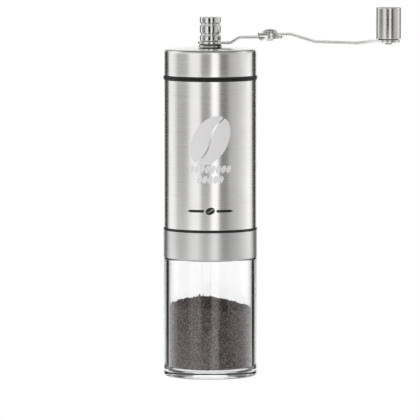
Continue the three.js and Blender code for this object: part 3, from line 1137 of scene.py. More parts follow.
@dataclass
class CoffeeGrounds:
    """Loose ground coffee, heaped in the jar a little left of the middle."""

    jar: Jar
    peak_height: float = 41.9
    peak_x: float = -4.0
    slope: float = 0.25
    wall_clearance: float = 0.75
    floor_clearance: float = 0.25
    rounds: int = 150
    levels: int = 26
    inward: int = 34
    grains_per_mm2: float = 0.9
    grain_mm: float = 0.45
    seed: int = 7

    def height(self, x: float, y: float) -> float:
        """Height of the heap's surface at a place.

        Args:
            x: place along X in millimetres.
            y: place along Y in millimetres.

        Returns:
            The height in millimetres.
        """
        away = math.hypot(x - self.peak_x, y)
        softened = math.hypot(away, 4.0) - 4.0
        lumps = mathutils.noise.noise(Vector((x * 0.22, y * 0.22, 3.1)))
        crumbs = mathutils.noise.noise(Vector((x * 1.1, y * 1.1, 8.7)))
        rough = 0.8 * lumps + crumbs + 2.4 * max(0.0, crumbs) ** 3
        return self.peak_height - self.slope * softened + rough

    def heap(self) -> Shape:
        """The closed body of the heap: floor, wall and surface.

        Returns:
            The closed shape in millimetres.
        """
        outside = self.jar.bore - self.wall_clearance
        foot = self.jar.floor + self.floor_clearance
        shape = bmesh.new()
        rows: list[list[bmesh.types.BMVert]] = []
        size = self.jar.inner_fillet
        corner = [
            (outside - size + size * math.sin(a), foot + size - size * math.cos(a))
            for a in (0.0, 0.4, 0.8, 1.2, math.pi / 2)
        ]

        def round_row(make: Callable[[float], Point]) -> None:
            """Adds a row of points whose radius and height a rule gives for each angle.

            Args:
                make: gives radius and height for an angle.
            """
            row = []
            for step in range(self.rounds):
                angle = FULL_TURN * step / self.rounds
                radius, z = make(angle)
                row.append(shape.verts.new((radius * math.cos(angle), radius * math.sin(angle), z)))
            rows.append(row)

        def surface(angle: float, radius: float) -> float:
            """Height of the heap at a place."""
            return self.height(radius * math.cos(angle), radius * math.sin(angle))

        for radius, z in corner:
            round_row(lambda angle, r=radius, h=z: (r, h))
        low = foot + size
        for level in range(1, self.levels + 1):
            part = level / self.levels
            round_row(lambda angle, p=part: (outside, low + (surface(angle, outside) - low) * p))
        for step in range(1, self.inward):
            radius = outside * (1 - step / self.inward)
            round_row(lambda angle, r=radius: (r, surface(angle, r)))
        for lower, upper in zip(rows, rows[1:]):
            for step in range(self.rounds):
                after = (step + 1) % self.rounds
                shape.faces.new((lower[step], lower[after], upper[after], upper[step]))
        for row, z in ((rows[0], foot), (rows[-1], self.height(0.0, 0.0))):
            tip = shape.verts.new((0, 0, z))
            for step in range(self.rounds):
                shape.faces.new((row[step], row[(step + 1) % self.rounds], tip))
        return shape

    def grains_recipe(self) -> GeometryRecipe:
        """Scatters small irregular grains over a heap and keeps the heap under them.

        Returns:
            The finished recipe.
        """
        recipe = GeometryRecipe("scatter_grains")
        heap = recipe.entry.outputs["Geometry"]
        spots = recipe.add(
            "GeometryNodeDistributePointsOnFaces",
            {"Mesh": heap, "Density": recipe.size("density"), "Seed": self.seed},
        )
        grain = recipe.add(
            "GeometryNodeMeshIcoSphere", {"Radius": recipe.size("grain radius"), "Subdivisions": 1}
        )
        tumble = recipe.add(
            "FunctionNodeRandomValue",
            {0: (0.0, 0.0, 0.0), 1: (FULL_TURN,) * 3, "Seed": self.seed + 1},
            data_type="FLOAT_VECTOR",
        )
        shape = recipe.add(
            "FunctionNodeRandomValue",
            {0: (0.4, 0.35, 0.3), 1: (1.15, 1.0, 0.9), "Seed": self.seed + 2},
            data_type="FLOAT_VECTOR",
        )
        scattered = recipe.add(
            "GeometryNodeInstanceOnPoints",
            {
                "Points": spots.outputs["Points"],
                "Instance": grain.outputs["Mesh"],
                "Rotation": tumble.outputs[0],
                "Scale": shape.outputs[0],
            },
        )
        both = recipe.add("GeometryNodeJoinGeometry")
        for part in (heap, scattered.outputs[0]):
            recipe.tree.links.new(part, both.inputs[0])
        recipe.finish(both.outputs[0], DRESSER.material("ground_dark_roast"))
        return recipe

    def build(self) -> None:
        """Builds the heap with its grains."""
        piece = finish_piece("ground_coffee", self.heap(), "ground_dark_roast")
        sizes = {"density": self.grains_per_mm2 / MM**2, "grain radius": self.grain_mm * MM}
        self.grains_recipe().bake(piece, sizes)
        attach(piece, "jar")
        LOG.info("%s: %d faces on jar", piece.name, len(piece.data.polygons))


# ---------------------------------------------------------------- mill body


@dataclass
class MillBody:
    """The bean tube, the housing with its spider, and the fixed burr."""

    sheet: float = 0.8
    neck_radius: float = 22.4
    neck_bore: float = 20.6
    flange_height: float = 8.45
    flange_thick: float = 0.8
    throat: float = 14.6
    arm_half: float = 2.0
    arms: int = 3
    teeth: int = 30
    tooth_depth: float = 0.55
    levels: int = 16
    funnel_radius: float = 13.6
    funnel_drop: float = 7.6
    burr_gap: float = 0.95
    cone_line: tuple[Point, Point] = ((11.2, 74.0), (5.8, 87.2))
    screws: int = 3
    tube: Extent = node_extent("hopper_tube")
    housing: Extent = node_extent("mill_housing")
    bush: Extent = node_extent("lower_bush")
    burr: Extent = node_extent("outer_burr")
    clamp: Extent = node_extent("burr_clamp_ring")
    screw: Extent = node_extent("clamp_screw_1")

    def build(self) -> None:
        """Builds every piece of the body."""
        self.build_tube()
        self.build_housing()
        self.build_bush()
        self.build_burr()
        self.build_clamp()
        self.build_screws()

    def build_tube(self) -> None:
        """The brushed tube that holds the beans."""
        profile = ring_of(self.tube, self.tube.radius - self.sheet, 0.22)
        turn_piece(
            "bean_tube", profile, "brushed_stainless_tube",
            ("body", "brushed_steel", "hopper_tube"), ROUND_WIDE,
        )

    def build_housing(self) -> None:
        """The black housing: male neck, flange, burr seat, funnel and spider."""
        flange = self.housing.radius
        spigot = self.tube.radius - self.sheet - 0.3
        flange_foot = self.housing.foot + self.flange_height
        flange_top = flange_foot + self.flange_thick
        seat, seat_top = self.burr.radius + 0.3, self.burr.top + 0.3
        seat_foot = self.clamp.top + 0.3
        top = self.housing.top
        profile = rounded(
            [
                (self.neck_bore, self.housing.foot, 0.3),
                (self.neck_radius, self.housing.foot, 0.6),
                (self.neck_radius, flange_foot, 0.2),
                (flange, flange_foot, 0.25),
                (flange, flange_top, 0.25),
                (spigot, flange_top, 0.1),
                (spigot, top, 0.3),
                (spigot - 0.9, top, 0.3),
                (self.throat, seat_top + 1.7, 1.5),
                (self.throat, seat_top, 0.1),
                (seat, seat_top),
                (seat, seat_foot, 0.1),
                (self.neck_bore, seat_foot, 0.1),
            ]
        )
        hub_foot, hub_top = self.bush.foot + 1.1, top
        hub = turned(ring(4.85, 7.5, hub_foot, hub_top, 0.4), ROUND_NARROW)
        shell = turned(profile, ROUND_WIDE)
        shape = merged([shell, hub, *self.arm_shapes(spigot)])
        piece = finish_piece("housing", shape, "black_abs")
        for start in range(2):
            ridge = wound_rod(
                f"male_ridge_{start}", "black_abs", self.neck_radius - 0.18, 0.38,
                self.housing.foot + 1.2, 5.4, 0.9, FULL_TURN * start / 2, 8,
            )
            add_mesh(piece, ridge)
        settle(piece, "body", "black_plastic", "mill_housing")

    def arm_shapes(self, spigot: float) -> list[Shape]:
        """The spider's arms, from the hub to the funnel's wall.

        Args:
            spigot: radius of the neck that stands in the tube.

        Returns:
            One closed shape for each arm.
        """
        foot, top = self.bush.foot + 1.6, self.housing.top - 1.0
        shapes = []
        for index in range(self.arms):
            turn = Matrix.Rotation(FULL_TURN * (index + 0.25) / self.arms, 3, "Z")
            outline = rounded(
                [
                    (6.0, -self.arm_half), (spigot - 1.4, -self.arm_half),
                    (spigot - 1.4, self.arm_half), (6.0, self.arm_half),
                ]
            )

            def lift(point: Vector, turn: Matrix = turn) -> Place:
                """Turns an arm to its place and raises it."""
                return tuple(turn @ Vector((point.x, point.y, point.z + foot)))

            shapes.append(stamped(outline, (), top - foot, 0.7, {}, lift))
        return shapes

    def build_bush(self) -> None:
        """The nylon bearing in the spider."""
        foot = self.bush.foot
        corners = [
            (3.15, foot, 0.3), (6.2, foot, 0.2), (6.2, foot + 0.9, 0.2), (4.6, foot + 0.9),
            (4.6, self.bush.top, 0.2), (3.15, self.bush.top, 0.3),
        ]
        turn_piece(
            "spider_bush", rounded(corners), "natural_nylon", ("body", "nylon", "lower_bush"),
        )

    def build_burr(self) -> None:
        """The fixed burr: slanted teeth all round its inner cone."""
        outside, foot, top = self.burr.radius, self.burr.foot, self.burr.top
        (cone_low_r, cone_foot), (cone_top_r, cone_top) = self.cone_line
        slope = (cone_top_r - cone_low_r) / (cone_top - cone_foot)
        waist = foot + self.funnel_drop
        low_r = cone_low_r + slope * (foot - cone_foot) + self.burr_gap
        waist_r = low_r + slope * (waist - foot)
        runs = (((self.funnel_radius, top), (waist_r, waist)), ((waist_r, waist), (low_r, foot)))
        inner = [
            (r0 + (r1 - r0) * i / self.levels, z0 + (z1 - z0) * i / self.levels)
            for (r0, z0), (r1, z1) in runs
            for i in range(self.levels)
        ]
        outline = rounded([(low_r, foot), (outside, foot, 0.5), (outside, top, 0.5)], closed=False)

        def teeth(angle: float, radius: float, height: float) -> float:
            """Cuts slanted teeth in the inside and leaves the outside round.

            Args:
                angle: angle round the axis.
                radius: radius of the plain profile there.
                height: height of the profile there.

            Returns:
                The radius there.
            """
            if radius > self.funnel_radius + 0.1:
                return radius
            phase = (self.teeth * angle / FULL_TURN + (height - foot) * 0.16) % 1.0
            return radius + self.tooth_depth * phase

        turn_piece(
            "ring_burr", outline + inner, "fired_alumina", ("body", "ceramic", "outer_burr"),
            self.teeth * 12, teeth,
        )

    def build_clamp(self) -> None:
        """The ring that holds the fixed burr in its seat."""
        profile = ring_of(self.clamp, 14.0, 0.35)
        turn_piece(
            "clamp_ring", profile, "black_abs", ("body", "black_plastic", "burr_clamp_ring"),
            ROUND_WIDE,
        )

    def build_screws(self) -> None:
        """Three pan-head screws, repeated round the clamp ring."""
        seat = self.clamp.foot
        reach = math.hypot(self.screw.middle_x, (self.screw.low.y + self.screw.high.y) / 2)
        profile = rounded(
            [
                (0, seat - 0.55), (0.8, seat - 0.75), (0.9, seat - 1.2, 0.1),
                (1.3, seat - 1.2, 0.5), (1.75, seat - 0.7, 0.2), (1.75, seat - 0.1, 0.1),
                (0.95, seat - 0.1), (0.95, seat + 7.4, 0.2), (0, seat + 8.6),
            ],
            closed=False,
        )
        shape = turned(profile, 32, centre=(reach, 0.0))
        piece = finish_piece("clamp_screws", shape, "turned_steel")
        repeat_round(piece, "turned_steel", self.screws, FULL_TURN * 0.25 / self.screws)
        nodes = [f"clamp_screw_{i + 1}" for i in range(self.screws)]
        settle(piece, "body", "plain_steel", *nodes)


# ---------------------------------------------------------------- rotor


@dataclass
class Rotor:
    """The shaft with everything that turns with it inside the mill."""

    shaft_radius: float = 3.0
    thread_radius: float = 2.35
    thread_pitch: float = 0.8
    drive_flat: float = 2.45
    drive_corner: float = 2.83
    drive_span: Point = (75.4, 90.5)
    hub_flat: float = 2.6
    fine_teeth: int = 36
    flutes: int = 6
    dial_lobes: int = 12
    shaft: Extent = node_extent("drive_shaft")
    clip: Extent = node_extent("shaft_clip")
    washer: Extent = node_extent("thrust_washer")
    spring: Extent = node_extent("burr_spring")
    cone: Extent = node_extent("inner_burr")
    driver: Extent = node_extent("burr_driver")
    dial: Extent = node_extent("adjuster_dial")
    insert: Extent = node_extent("adjuster_nut")
    hub: Extent = node_extent("crank_inner_link")

    def build(self) -> None:
        """Builds every turning piece."""
        self.build_shaft()
        self.build_clip()
        self.build_washer()
        self.build_spring()
        self.build_cone()
        self.build_driver()
        self.build_dial()
        self.build_insert()

    def build_shaft(self) -> None:
        """The steel shaft: thread, burr hexagon, long journal, hub hexagon and stud."""
        foot, top = self.shaft.foot, self.shaft.top
        groove = self.clip.foot - 0.1
        hub_foot = self.hub.foot - 0.7
        stud_foot = hub_foot + 2.0
        thin, full, corner = self.thread_radius - 0.12, self.shaft_radius, self.drive_corner
        low, high = self.drive_span
        profile = rounded(
            [
                (0, foot), (thin, foot, 0.5), (thin, low - 0.1), (corner, low), (corner, high),
                (full, high + 0.2, 0.2), (full, groove, 0.1), (2.4, groove), (2.4, groove + 0.9),
                (full, groove + 0.9, 0.1), (full, hub_foot), (full, stud_foot, 0.2),
                (thin, stud_foot), (thin, top, 0.5), (0, top),
            ],
            closed=False,
        )
        drive = hexagon(self.drive_flat, corner)
        hub = hexagon(self.hub_flat, self.shaft_radius)

        def bar(angle: float, radius: float, height: float) -> float:
            """Cuts the two hexagons in the round bar.

            Args:
                angle: angle round the axis.
                radius: radius of the plain profile there.
                height: height of the profile there.

            Returns:
                The radius there.
            """
            if low - 0.05 < height < high + 0.05:
                return drive(angle, radius, height)
            if hub_foot + 0.01 < height < stud_foot + 0.01 and radius > thin:
                return hub(angle, radius, height)
            return radius

        piece = finish_piece("shaft", turned(profile, rule=bar), "turned_steel")
        threads = ((foot + 0.7, low - 0.4), (stud_foot + 0.6, top - 0.6))
        for index, (start, end) in enumerate(threads):
            thread = wound_rod(
                f"shaft_thread_{index}", "turned_steel", thin - 0.02, 0.14, start, end - start,
                (end - start) / self.thread_pitch, 0.0, 5,
            )
            add_mesh(piece, thread)
        settle(piece, "shaft", "plain_steel", "drive_shaft")

    def build_clip(self) -> None:
        """The spring clip in the shaft's groove, open towards +X."""
        wide, narrow = 4.95, 2.7
        mouth = math.radians(24)
        steps = 40
        angles = [mouth + (FULL_TURN - 2 * mouth) * i / steps for i in range(steps + 1)]
        outline = [(wide * math.cos(a), wide * math.sin(a)) for a in angles]
        outline += [(narrow * math.cos(a), narrow * math.sin(a)) for a in reversed(angles)]
        foot, thick = self.clip.foot, self.clip.top - self.clip.foot
        shape = stamped(outline, (), thick, 0.12, {}, lambda p: (p.x, p.y, p.z + foot))
        piece = finish_piece("spring_clip", shape, "turned_steel")
        settle(piece, "shaft", "plain_steel", "shaft_clip")

    def build_washer(self) -> None:
        """The thrust washer over the spring."""
        profile = ring_of(self.washer, 3.15, 0.15)
        turn_piece(
            "spring_washer", profile, "turned_steel", ("shaft", "plain_steel", "thrust_washer"),
        )

    def build_spring(self) -> None:
        """The coil spring, an even helix; its closed ends and how it shortens as the burr is raised
        are not built.
        """
        wire = 0.45
        low, high = self.spring.foot + wire, self.spring.top - wire
        piece = wound_rod(
            "coil_spring", "turned_steel", self.spring.radius - wire - 0.05, wire, low, high - low,
            4.5, sides=14,
        )
        settle(piece, "shaft", "plain_steel", "burr_spring")
        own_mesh(piece)

    def build_cone(self) -> None:
        """The turning burr: six deep flutes that run out into fine teeth."""
        foot, top = self.cone.foot, self.cone.top
        wide, narrow, pocket = self.cone.radius, 5.8, 9.8
        levels = 44
        surface = [
            (wide + (narrow - wide) * i / levels, foot + (top - foot) * i / levels)
            for i in range(levels + 1)
        ]
        inner = [(4.9, top), (4.9, foot + 1.7), (pocket, foot + 1.7), (pocket, foot)]

        def teeth(angle: float, radius: float, height: float) -> float:
            """Cuts fine teeth below and deep flutes above, and leaves the inside round.

            Args:
                angle: angle round the axis.
                radius: radius of the plain profile there.
                height: height of the profile there.

            Returns:
                The radius there.
            """
            if radius < narrow - 0.01 or radius == pocket:
                return radius
            part = (height - foot) / (top - foot)
            turn = angle / FULL_TURN
            fine = (self.fine_teeth * turn - part * 2.4) % 1.0
            deep = (self.flutes * turn - part * 1.1) % 1.0
            fade = min(1.0, max(0.0, (part - 0.3) / 0.35))
            return radius - 0.6 * fine * (1 - fade) - 2.1 * fade * deep**1.5 * (0.6 + 0.4 * part)

        turn_piece(
            "cone_burr", surface + inner, "fired_alumina", ("inner_burr", "ceramic", "inner_burr"),
            self.fine_teeth * 10, teeth,
        )

    def build_driver(self) -> None:
        """The plastic core that keys the cone to the shaft."""
        foot, top = self.driver.foot, self.driver.top
        bore = 3.13
        profile = rounded(
            [
                (bore, foot, 0.1), (9.5, foot, 0.3), (9.5, foot + 1.5, 0.1), (4.6, foot + 1.5),
                (4.6, top, 0.3), (bore, top, 0.1),
            ]
        )
        flat = hexagon(self.drive_flat + 0.26, 9.9)

        def keyed(angle: float, radius: float, height: float) -> float:
            """Cuts the hexagonal bore and leaves the rest round."""
            return flat(angle, radius, height) if radius < bore + 0.15 else radius

        home = ("inner_burr", "black_plastic", "burr_driver")
        turn_piece("cone_driver", profile, "black_abs", home, rule=keyed)

    def build_dial(self) -> None:
        """The scalloped dial that sets the grind."""
        foot, top = self.dial.foot, self.dial.top
        rim, pocket, rim_top = 10.05, 4.45, 71.4
        profile = rounded(
            [
                (pocket, foot, 0.1), (rim - 1.6, foot, 0.3), (rim, foot + 0.9, 0.5),
                (rim, rim_top, 0.6), (6.6, rim_top, 0.5), (6.6, top, 0.4), (pocket, top, 0.1),
            ]
        )
        socket = hexagon(pocket * math.cos(math.pi / 6), 9.9)

        def lobed(angle: float, radius: float, height: float) -> float:
            """Cuts the nut's hexagonal pocket and swells the rim in lobes.

            Args:
                angle: angle round the axis.
                radius: radius of the plain profile there.
                height: height of the profile there.

            Returns:
                The radius there.
            """
            if radius < pocket + 0.12:
                return socket(angle, 9.0, height)
            swell = max(0.0, (radius - 7.5) / (rim - 7.5))
            return radius + 0.45 * swell * math.cos(self.dial_lobes * angle)

        home = ("adjuster", "black_plastic", "adjuster_dial")
        turn_piece("grind_dial", profile, "black_abs", home, self.dial_lobes * 15, lobed)

    def build_insert(self) -> None:
        """The brass hexagon nut moulded into the dial."""
        foot, top = self.insert.foot, self.insert.top
        bore = self.thread_radius + 0.15
        corners = [
            (bore, foot, 0.1), (3.9, foot), (4.15, foot + 0.3), (4.15, top - 0.3), (3.9, top),
            (bore, top, 0.1),
        ]
        flat = hexagon(4.15 * math.cos(math.pi / 6), 9.9)

        def six_sided(angle: float, radius: float, height: float) -> float:
            """Cuts the hexagon and leaves the bore round."""
            return flat(angle, radius, height) if radius > 3 else radius

        home = ("adjuster", "brass", "adjuster_nut")
        turn_piece("brass_insert", rounded(corners), "turned_brass", home, rule=six_sided)


# ---------------------------------------------------------------- lid


@dataclass
class Lid:
    """The domed steel cap with its plastic plug, seal and shaft bushing."""

    sheet: float = 0.8
    edge_radius: float = 2.2
    dome: float = 1.1
    hole: float = 4.75
    flare: float = 0.8
    shell: Extent = node_extent("lid_shell")
    liner: Extent = node_extent("lid_liner")
    seal: Extent = node_extent("lid_seal")
    bushing: Extent = node_extent("lid_bushing")

    def build(self) -> None:
        """Builds every piece of the lid."""
        self.build_shell()
        self.build_liner()
        self.build_seal()
        self.build_bushing()

    def dome_height(self, radius: float) -> float:
        """Height of the cap's outside at a radius inside its edge.

        Args:
            radius: distance from the axis.

        Returns:
            The height in millimetres.
        """
        flat_radius = self.shell.radius - self.edge_radius
        rim = self.shell.top - self.dome * (1 - (self.hole / flat_radius) ** 2)
        return rim + self.dome * (1 - (radius / flat_radius) ** 2)

    def build_shell(self) -> None:
        """The pressed cap: straight wall, rolled edge and a low dome."""
        outside, foot = self.shell.radius, self.shell.foot
        centre = outside - self.edge_radius
        rim = self.dome_height(centre)
        turn = [math.radians(90 * i / 14) for i in range(15)]

        def edge(radius: float) -> Profile:
            """The rolled edge, from the wall to the dome.

            Args:
                radius: radius of the rounding.

            Returns:
                Its points, from below upwards.
            """
            return [
                (centre + radius * math.cos(a), rim - self.edge_radius + radius * math.sin(a))
                for a in turn
            ]

        radii = [centre - (centre - self.hole) * i / 24 for i in range(1, 25)]
        over = [(r, self.dome_height(r)) for r in radii]
        under = [(r, z - self.sheet) for r, z in reversed(over)]
        lip = rounded(
            [
                (outside - self.sheet, foot + 3), (outside - self.sheet, foot, 0.2),
                (outside, foot, 0.35), (outside, foot + 3),
            ],
            closed=False,
        )
        profile = lip + edge(self.edge_radius) + over + under
        profile += list(reversed(edge(self.edge_radius - self.sheet)))
        home = ("lid", "brushed_steel", "lid_shell")
        piece = turn_piece("cap", profile, "brushed_stainless_tube", home, ROUND_WIDE)
        dress_above(piece, "polished_cap_top", rim - 0.35 * self.edge_radius)

    def build_liner(self) -> None:
        """The plug under the cap, a cup with a central boss for the bushing."""
        foot, top = self.liner.foot, self.liner.top
        outside = self.liner.radius
        plug, step = outside - 0.3, self.shell.foot + 0.1
        profile = rounded(
            [
                (3.5, foot, 0.2), (plug, foot, 0.8), (plug, step), (outside, step, 0.1),
                (outside, top - 1.8, 0.4), (outside - 1.5, top - 1.8, 0.4),
                (outside - 1.5, foot + 1.8, 1.0), (7.0, foot + 1.8, 1.0), (7.0, top, 0.3),
                (self.hole, top, 0.2), (self.hole, top - 6.1), (3.5, top - 6.1),
            ]
        )
        turn_piece(
            "cap_plug", profile, "black_abs", ("lid", "black_plastic", "lid_liner"), ROUND_WIDE,
        )

    def build_seal(self) -> None:
        """The silicone seal between cap and tube, with two round lips."""
        foot, top, outside = self.seal.foot, self.seal.top, self.seal.radius
        groove = (foot + top) / 2
        profile = rounded(
            [
                (outside - 1.5, foot, 0.1), (outside - 0.05, foot, 0.3),
                (outside, groove - 0.35, 0.3), (outside - 0.45, groove, 0.12),
                (outside, groove + 0.35, 0.3), (outside - 0.05, top, 0.3),
                (outside - 1.5, top, 0.1),
            ]
        )
        turn_piece("cap_seal", profile, "black_silicone", ("lid", "rubber", "lid_seal"), ROUND_WIDE)

    def build_bushing(self) -> None:
        """The polished bushing, flared where it stands on the dome."""
        foot, top, outside = self.bushing.foot, self.bushing.top, self.bushing.radius
        corners = [
            (3.15, foot, 0.2), (4.5, foot, 0.3), (4.5, top - self.flare),
            (outside, top - self.flare, 0.1), (outside - 0.6, top, 0.15), (3.15, top, 0.15),
        ]
        turn_piece(
            "cap_bushing", rounded(corners), "polished_stainless",
            ("lid", "polished_steel", "lid_bushing"),
        )


# ---------------------------------------------------------------- crank


class BentStrip:
    """The line that a bent strip's lower face follows, as a height and a slope along the strip."""

    def __init__(self, corners: Sequence[Sequence[float]], thickness: float) -> None:
        """Rounds the corners and keeps the line.

        Args:
            corners: (along, height) or (along, height, radius) of the lower line.
            thickness: thickness of the strip.
        """
        self.line = rounded(corners, closed=False, steps=8)
        self.thickness = thickness

    @property
    def stations(self) -> list[float]:
        """Where the strip may bend, inside its ends."""
        return [along for along, _ in self.line[1:-1]]

    def at(self, along: float) -> tuple[float, float]:
        """Height and slope angle of the lower line at a place.

        Args:
            along: distance along X in millimetres.

        Returns:
            The height in millimetres and the angle in radians.
        """
        pairs = list(zip(self.line, self.line[1:]))
        for (x0, z0), (x1, z1) in pairs:
            if along <= x1 or (x1, z1) == self.line[-1]:
                part = (along - x0) / (x1 - x0)
                return z0 + (z1 - z0) * part, math.atan2(z1 - z0, x1 - x0)
        return self.line[-1][1], 0.0

    def bend(self, point: Vector) -> Place:
        """Where a point of the flat strip goes. Its z is the depth into the strip.

        Args:
            point: the point, in millimetres.

        Returns:
            The bent point.
        """
        height, slope = self.at(point.x)
        before, after = self.at(point.x - 0.05)[1], self.at(point.x + 0.05)[1]
        lean = (before + after) / 2 if abs(before - after) > 1e-6 else slope
        return (
            point.x - point.z * math.sin(lean),
            point.y,
            height + point.z * math.cos(lean) / max(0.5, math.cos(lean - slope)),
        )


def strip_outline(start_r: float, end_r: float, span: float, half: float) -> Profile:
    """The plan of a strip with two round ends and a straight waist.

    Args:
        start_r: radius of the end at the origin.
        end_r: radius of the other end.
        span: distance between the ends' centres.
        half: half width of the waist.

    Returns:
        The outline, counter-clockwise.
    """
    steps, flank = 28, math.radians(50)

    def shoulder(radius: float) -> Profile:
        """The upper line from an end's flank to the waist, measured from the end's centre.

        Args:
            radius: the end's radius.

        Returns:
            The line's points.
        """
        reach = 1.7 * radius
        start = Vector((radius * math.cos(flank), radius * math.sin(flank)))
        leave = Vector((math.sin(flank), -math.cos(flank)))
        control = start + leave * ((start.y - half) / -leave.y) if start.y > half else start
        points = []
        for step in range(1, 9):
            t = step / 8
            points.append(
                (
                    (1 - t) ** 2 * start.x + 2 * t * (1 - t) * control.x + t * t * reach,
                    (1 - t) ** 2 * start.y + 2 * t * (1 - t) * control.y + t * t * half,
                )
            )
        return points

    def cap(radius: float) -> Profile:
        """The round end, from the upper flank round the back to the lower flank.

        Args:
            radius: the end's radius.

        Returns:
            The arc's points.
        """
        sweep = FULL_TURN - 2 * flank
        angles = [flank + sweep * i / steps for i in range(steps + 1)]
        return [(radius * math.cos(a), radius * math.sin(a)) for a in angles]

    right = [(span - x, -y) for x, y in cap(end_r)]
    upper = shoulder(start_r) + [(span - x, y) for x, y in reversed(shoulder(end_r))]
    return cap(start_r) + [(x, -y) for x, y in upper] + right + upper[::-1]


@dataclass
class Crank:
    """The folding crank: hub washer, two bent links, rivet, nut and grip."""

    hinge_x: float = 32.2
    grip_x: float = 96.0
    hub_end: float = 6.6
    outer_end: float = 6.0
    waist: float = 5.0
    thickness: float = 1.45
    rivet_hole: float = 1.75
    hub_corner: float = 3.25
    tab_inner: float = 6.95
    tab_span: tuple[float, float] = (-6.0, -1.4)
    tab_foot: float = 181.2
    inner_line: tuple = (
        (-8.0, 179.3), (11.2, 179.3, 3.0), (16.0, 182.26, 3.0), (40.0, 182.26),
    )
    outer_line: tuple = (
        (-9.0, 183.85), (11.4, 183.85, 5.0), (24.3, 179.85, 9.0), (47.0, 179.1, 12.0),
        (55.1, 180.05, 8.0), (72.0, 180.05),
    )
    grooves: tuple[Point, ...] = ((183.55, 185.45), (188.95, 190.85))
    groove_depth: float = 0.8
    nut_bore: tuple[Point, ...] = (
        (0.0, 190.6), (2.4, 190.25), (2.65, 190.0), (2.65, 182.15), (4.75, 182.15),
    )
    washer: Extent = node_extent("crank_washer")
    nut: Extent = node_extent("thumb_nut")
    nut_ring: Extent = node_extent("nut_washer")
    rivet: Extent = node_extent("hinge_rivet")
    pin: Extent = node_extent("grip_pin")
    grip: Extent = node_extent("grip_shell")
    grip_ring: Extent = node_extent("grip_washer")
    bush: Extent = node_extent("grip_bush")

    def build(self) -> None:
        """Builds every piece of the crank."""
        self.build_washers()
        self.build_inner_link()
        self.build_outer_link()
        self.build_nut()
        self.build_rivet()
        self.build_grip()

    def build_washers(self) -> None:
        """The spacer under the hub, black as painted shade, and the nylon washer in the nut's foot.
        """
        # The hub spacer's black colour is painted shade for the dark gap between the hub link and
        # the lid.
        profile = ring_of(self.washer, 3.3, 0.15)
        turn_piece(
            "hub_washer_painted_shade", profile, "black_abs", ("crank_washer", "black_plastic", "crank_washer"),
        )
        profile = ring_of(self.nut_ring, 2.7, 0.12)
        turn_piece(
            "nut_seat_washer", profile, "natural_nylon", ("nut_washer", "nylon", "nut_washer"),
        )

    def build_inner_link(self) -> None:
        """The short link from the shaft's hexagon to the hinge."""
        strip = BentStrip(self.inner_line, self.thickness)
        outline = strip_outline(self.hub_end, self.hub_end, self.hinge_x, self.waist)
        rivet_hole = circle((self.hinge_x, 0.0), self.rivet_hole)
        holes = (circle((0.0, 0.0), self.hub_corner, 6), rivet_hole)
        shape = stamped(outline, holes, self.thickness, 0.2, {"x": strip.stations}, strip.bend)
        piece = finish_piece("inner_link", shape, "tumbled_stainless")
        settle(piece, "crank_inner", "polished_steel", "crank_inner_link")

    def build_outer_link(self) -> None:
        """The long link with the stop that folds down over the inner link's side."""
        strip = BentStrip(self.outer_line, self.thickness)
        span = self.grip_x - self.hinge_x
        outline = strip_outline(self.hub_end, self.outer_end, span, self.waist)
        holes = (circle((0.0, 0.0), self.rivet_hole), circle((span, 0.0), self.rivet_hole))

        def at_hinge(point: Vector) -> Place:
            """Bends the strip and moves it to the hinge."""
            x, y, z = strip.bend(point)
            return (x + self.hinge_x, y, z)

        plate = stamped(outline, holes, self.thickness, 0.2, {"x": strip.stations}, at_hinge)
        piece = finish_piece("outer_link", merged([plate, self.stop_shape()]), "tumbled_stainless")
        settle(piece, "crank_outer", "polished_steel", "crank_outer_link")

    def stop_shape(self) -> Shape:
        """The stop: a strip that leaves the plate sideways and folds down by a right angle.

        Returns:
            The closed shape in millimetres.
        """
        low, high = self.tab_span
        plate_foot = self.outer_line[0][1]
        bend_r = 0.5
        flat_end = self.tab_inner - bend_r
        quarter = math.pi / 2 * bend_r
        drop = plate_foot - bend_r - self.tab_foot
        length = flat_end + quarter + drop
        outline = rounded(
            [(low, -length, 1.6), (high, -length, 0.4), (high, -4.6, 0.2), (low, -2.6, 0.2)]
        )

        def fold(point: Vector) -> Place:
            """Folds the strip down where it passes the inner link's side.

            Args:
                point: the point, in millimetres.

            Returns:
                The folded point.
            """
            out, depth = -point.y, point.z
            if out <= flat_end:
                y, z = -out, plate_foot + depth
            else:
                angle = min(out - flat_end, quarter) / bend_r
                past = max(0.0, out - flat_end - quarter)
                reach = bend_r + depth
                y = -(flat_end + reach * math.sin(angle))
                z = plate_foot - bend_r + reach * math.cos(angle) - past
            return (point.x + self.hinge_x, y, z)

        cuts = [-(flat_end + quarter * i / 8) for i in range(9)]
        return stamped(outline, (), self.thickness, 0.18, {"y": cuts}, fold)

    def build_nut(self) -> None:
        """The polished thumb nut with its two V grooves."""
        foot, top, outside = self.nut.foot, self.nut.top, self.nut.radius
        depth = self.groove_depth
        corners = [(4.75, foot, 0.1), (outside - 0.1, foot, 0.35), (outside, foot + 0.5, 0.2)]
        for low, high in self.grooves:
            corners += [
                (outside, low, 0.12), (outside - depth, low + depth, 0.25),
                (outside - depth, high - depth, 0.25), (outside, high, 0.12),
            ]
        corners += [(outside, top, 0.55), (0.0, top)]
        home = ("thumb_nut", "polished_steel", "thumb_nut")
        profile = [*self.nut_bore, *rounded(corners, closed=False)]
        turn_piece("nut", profile, "polished_stainless", home, ROUND_WIDE)

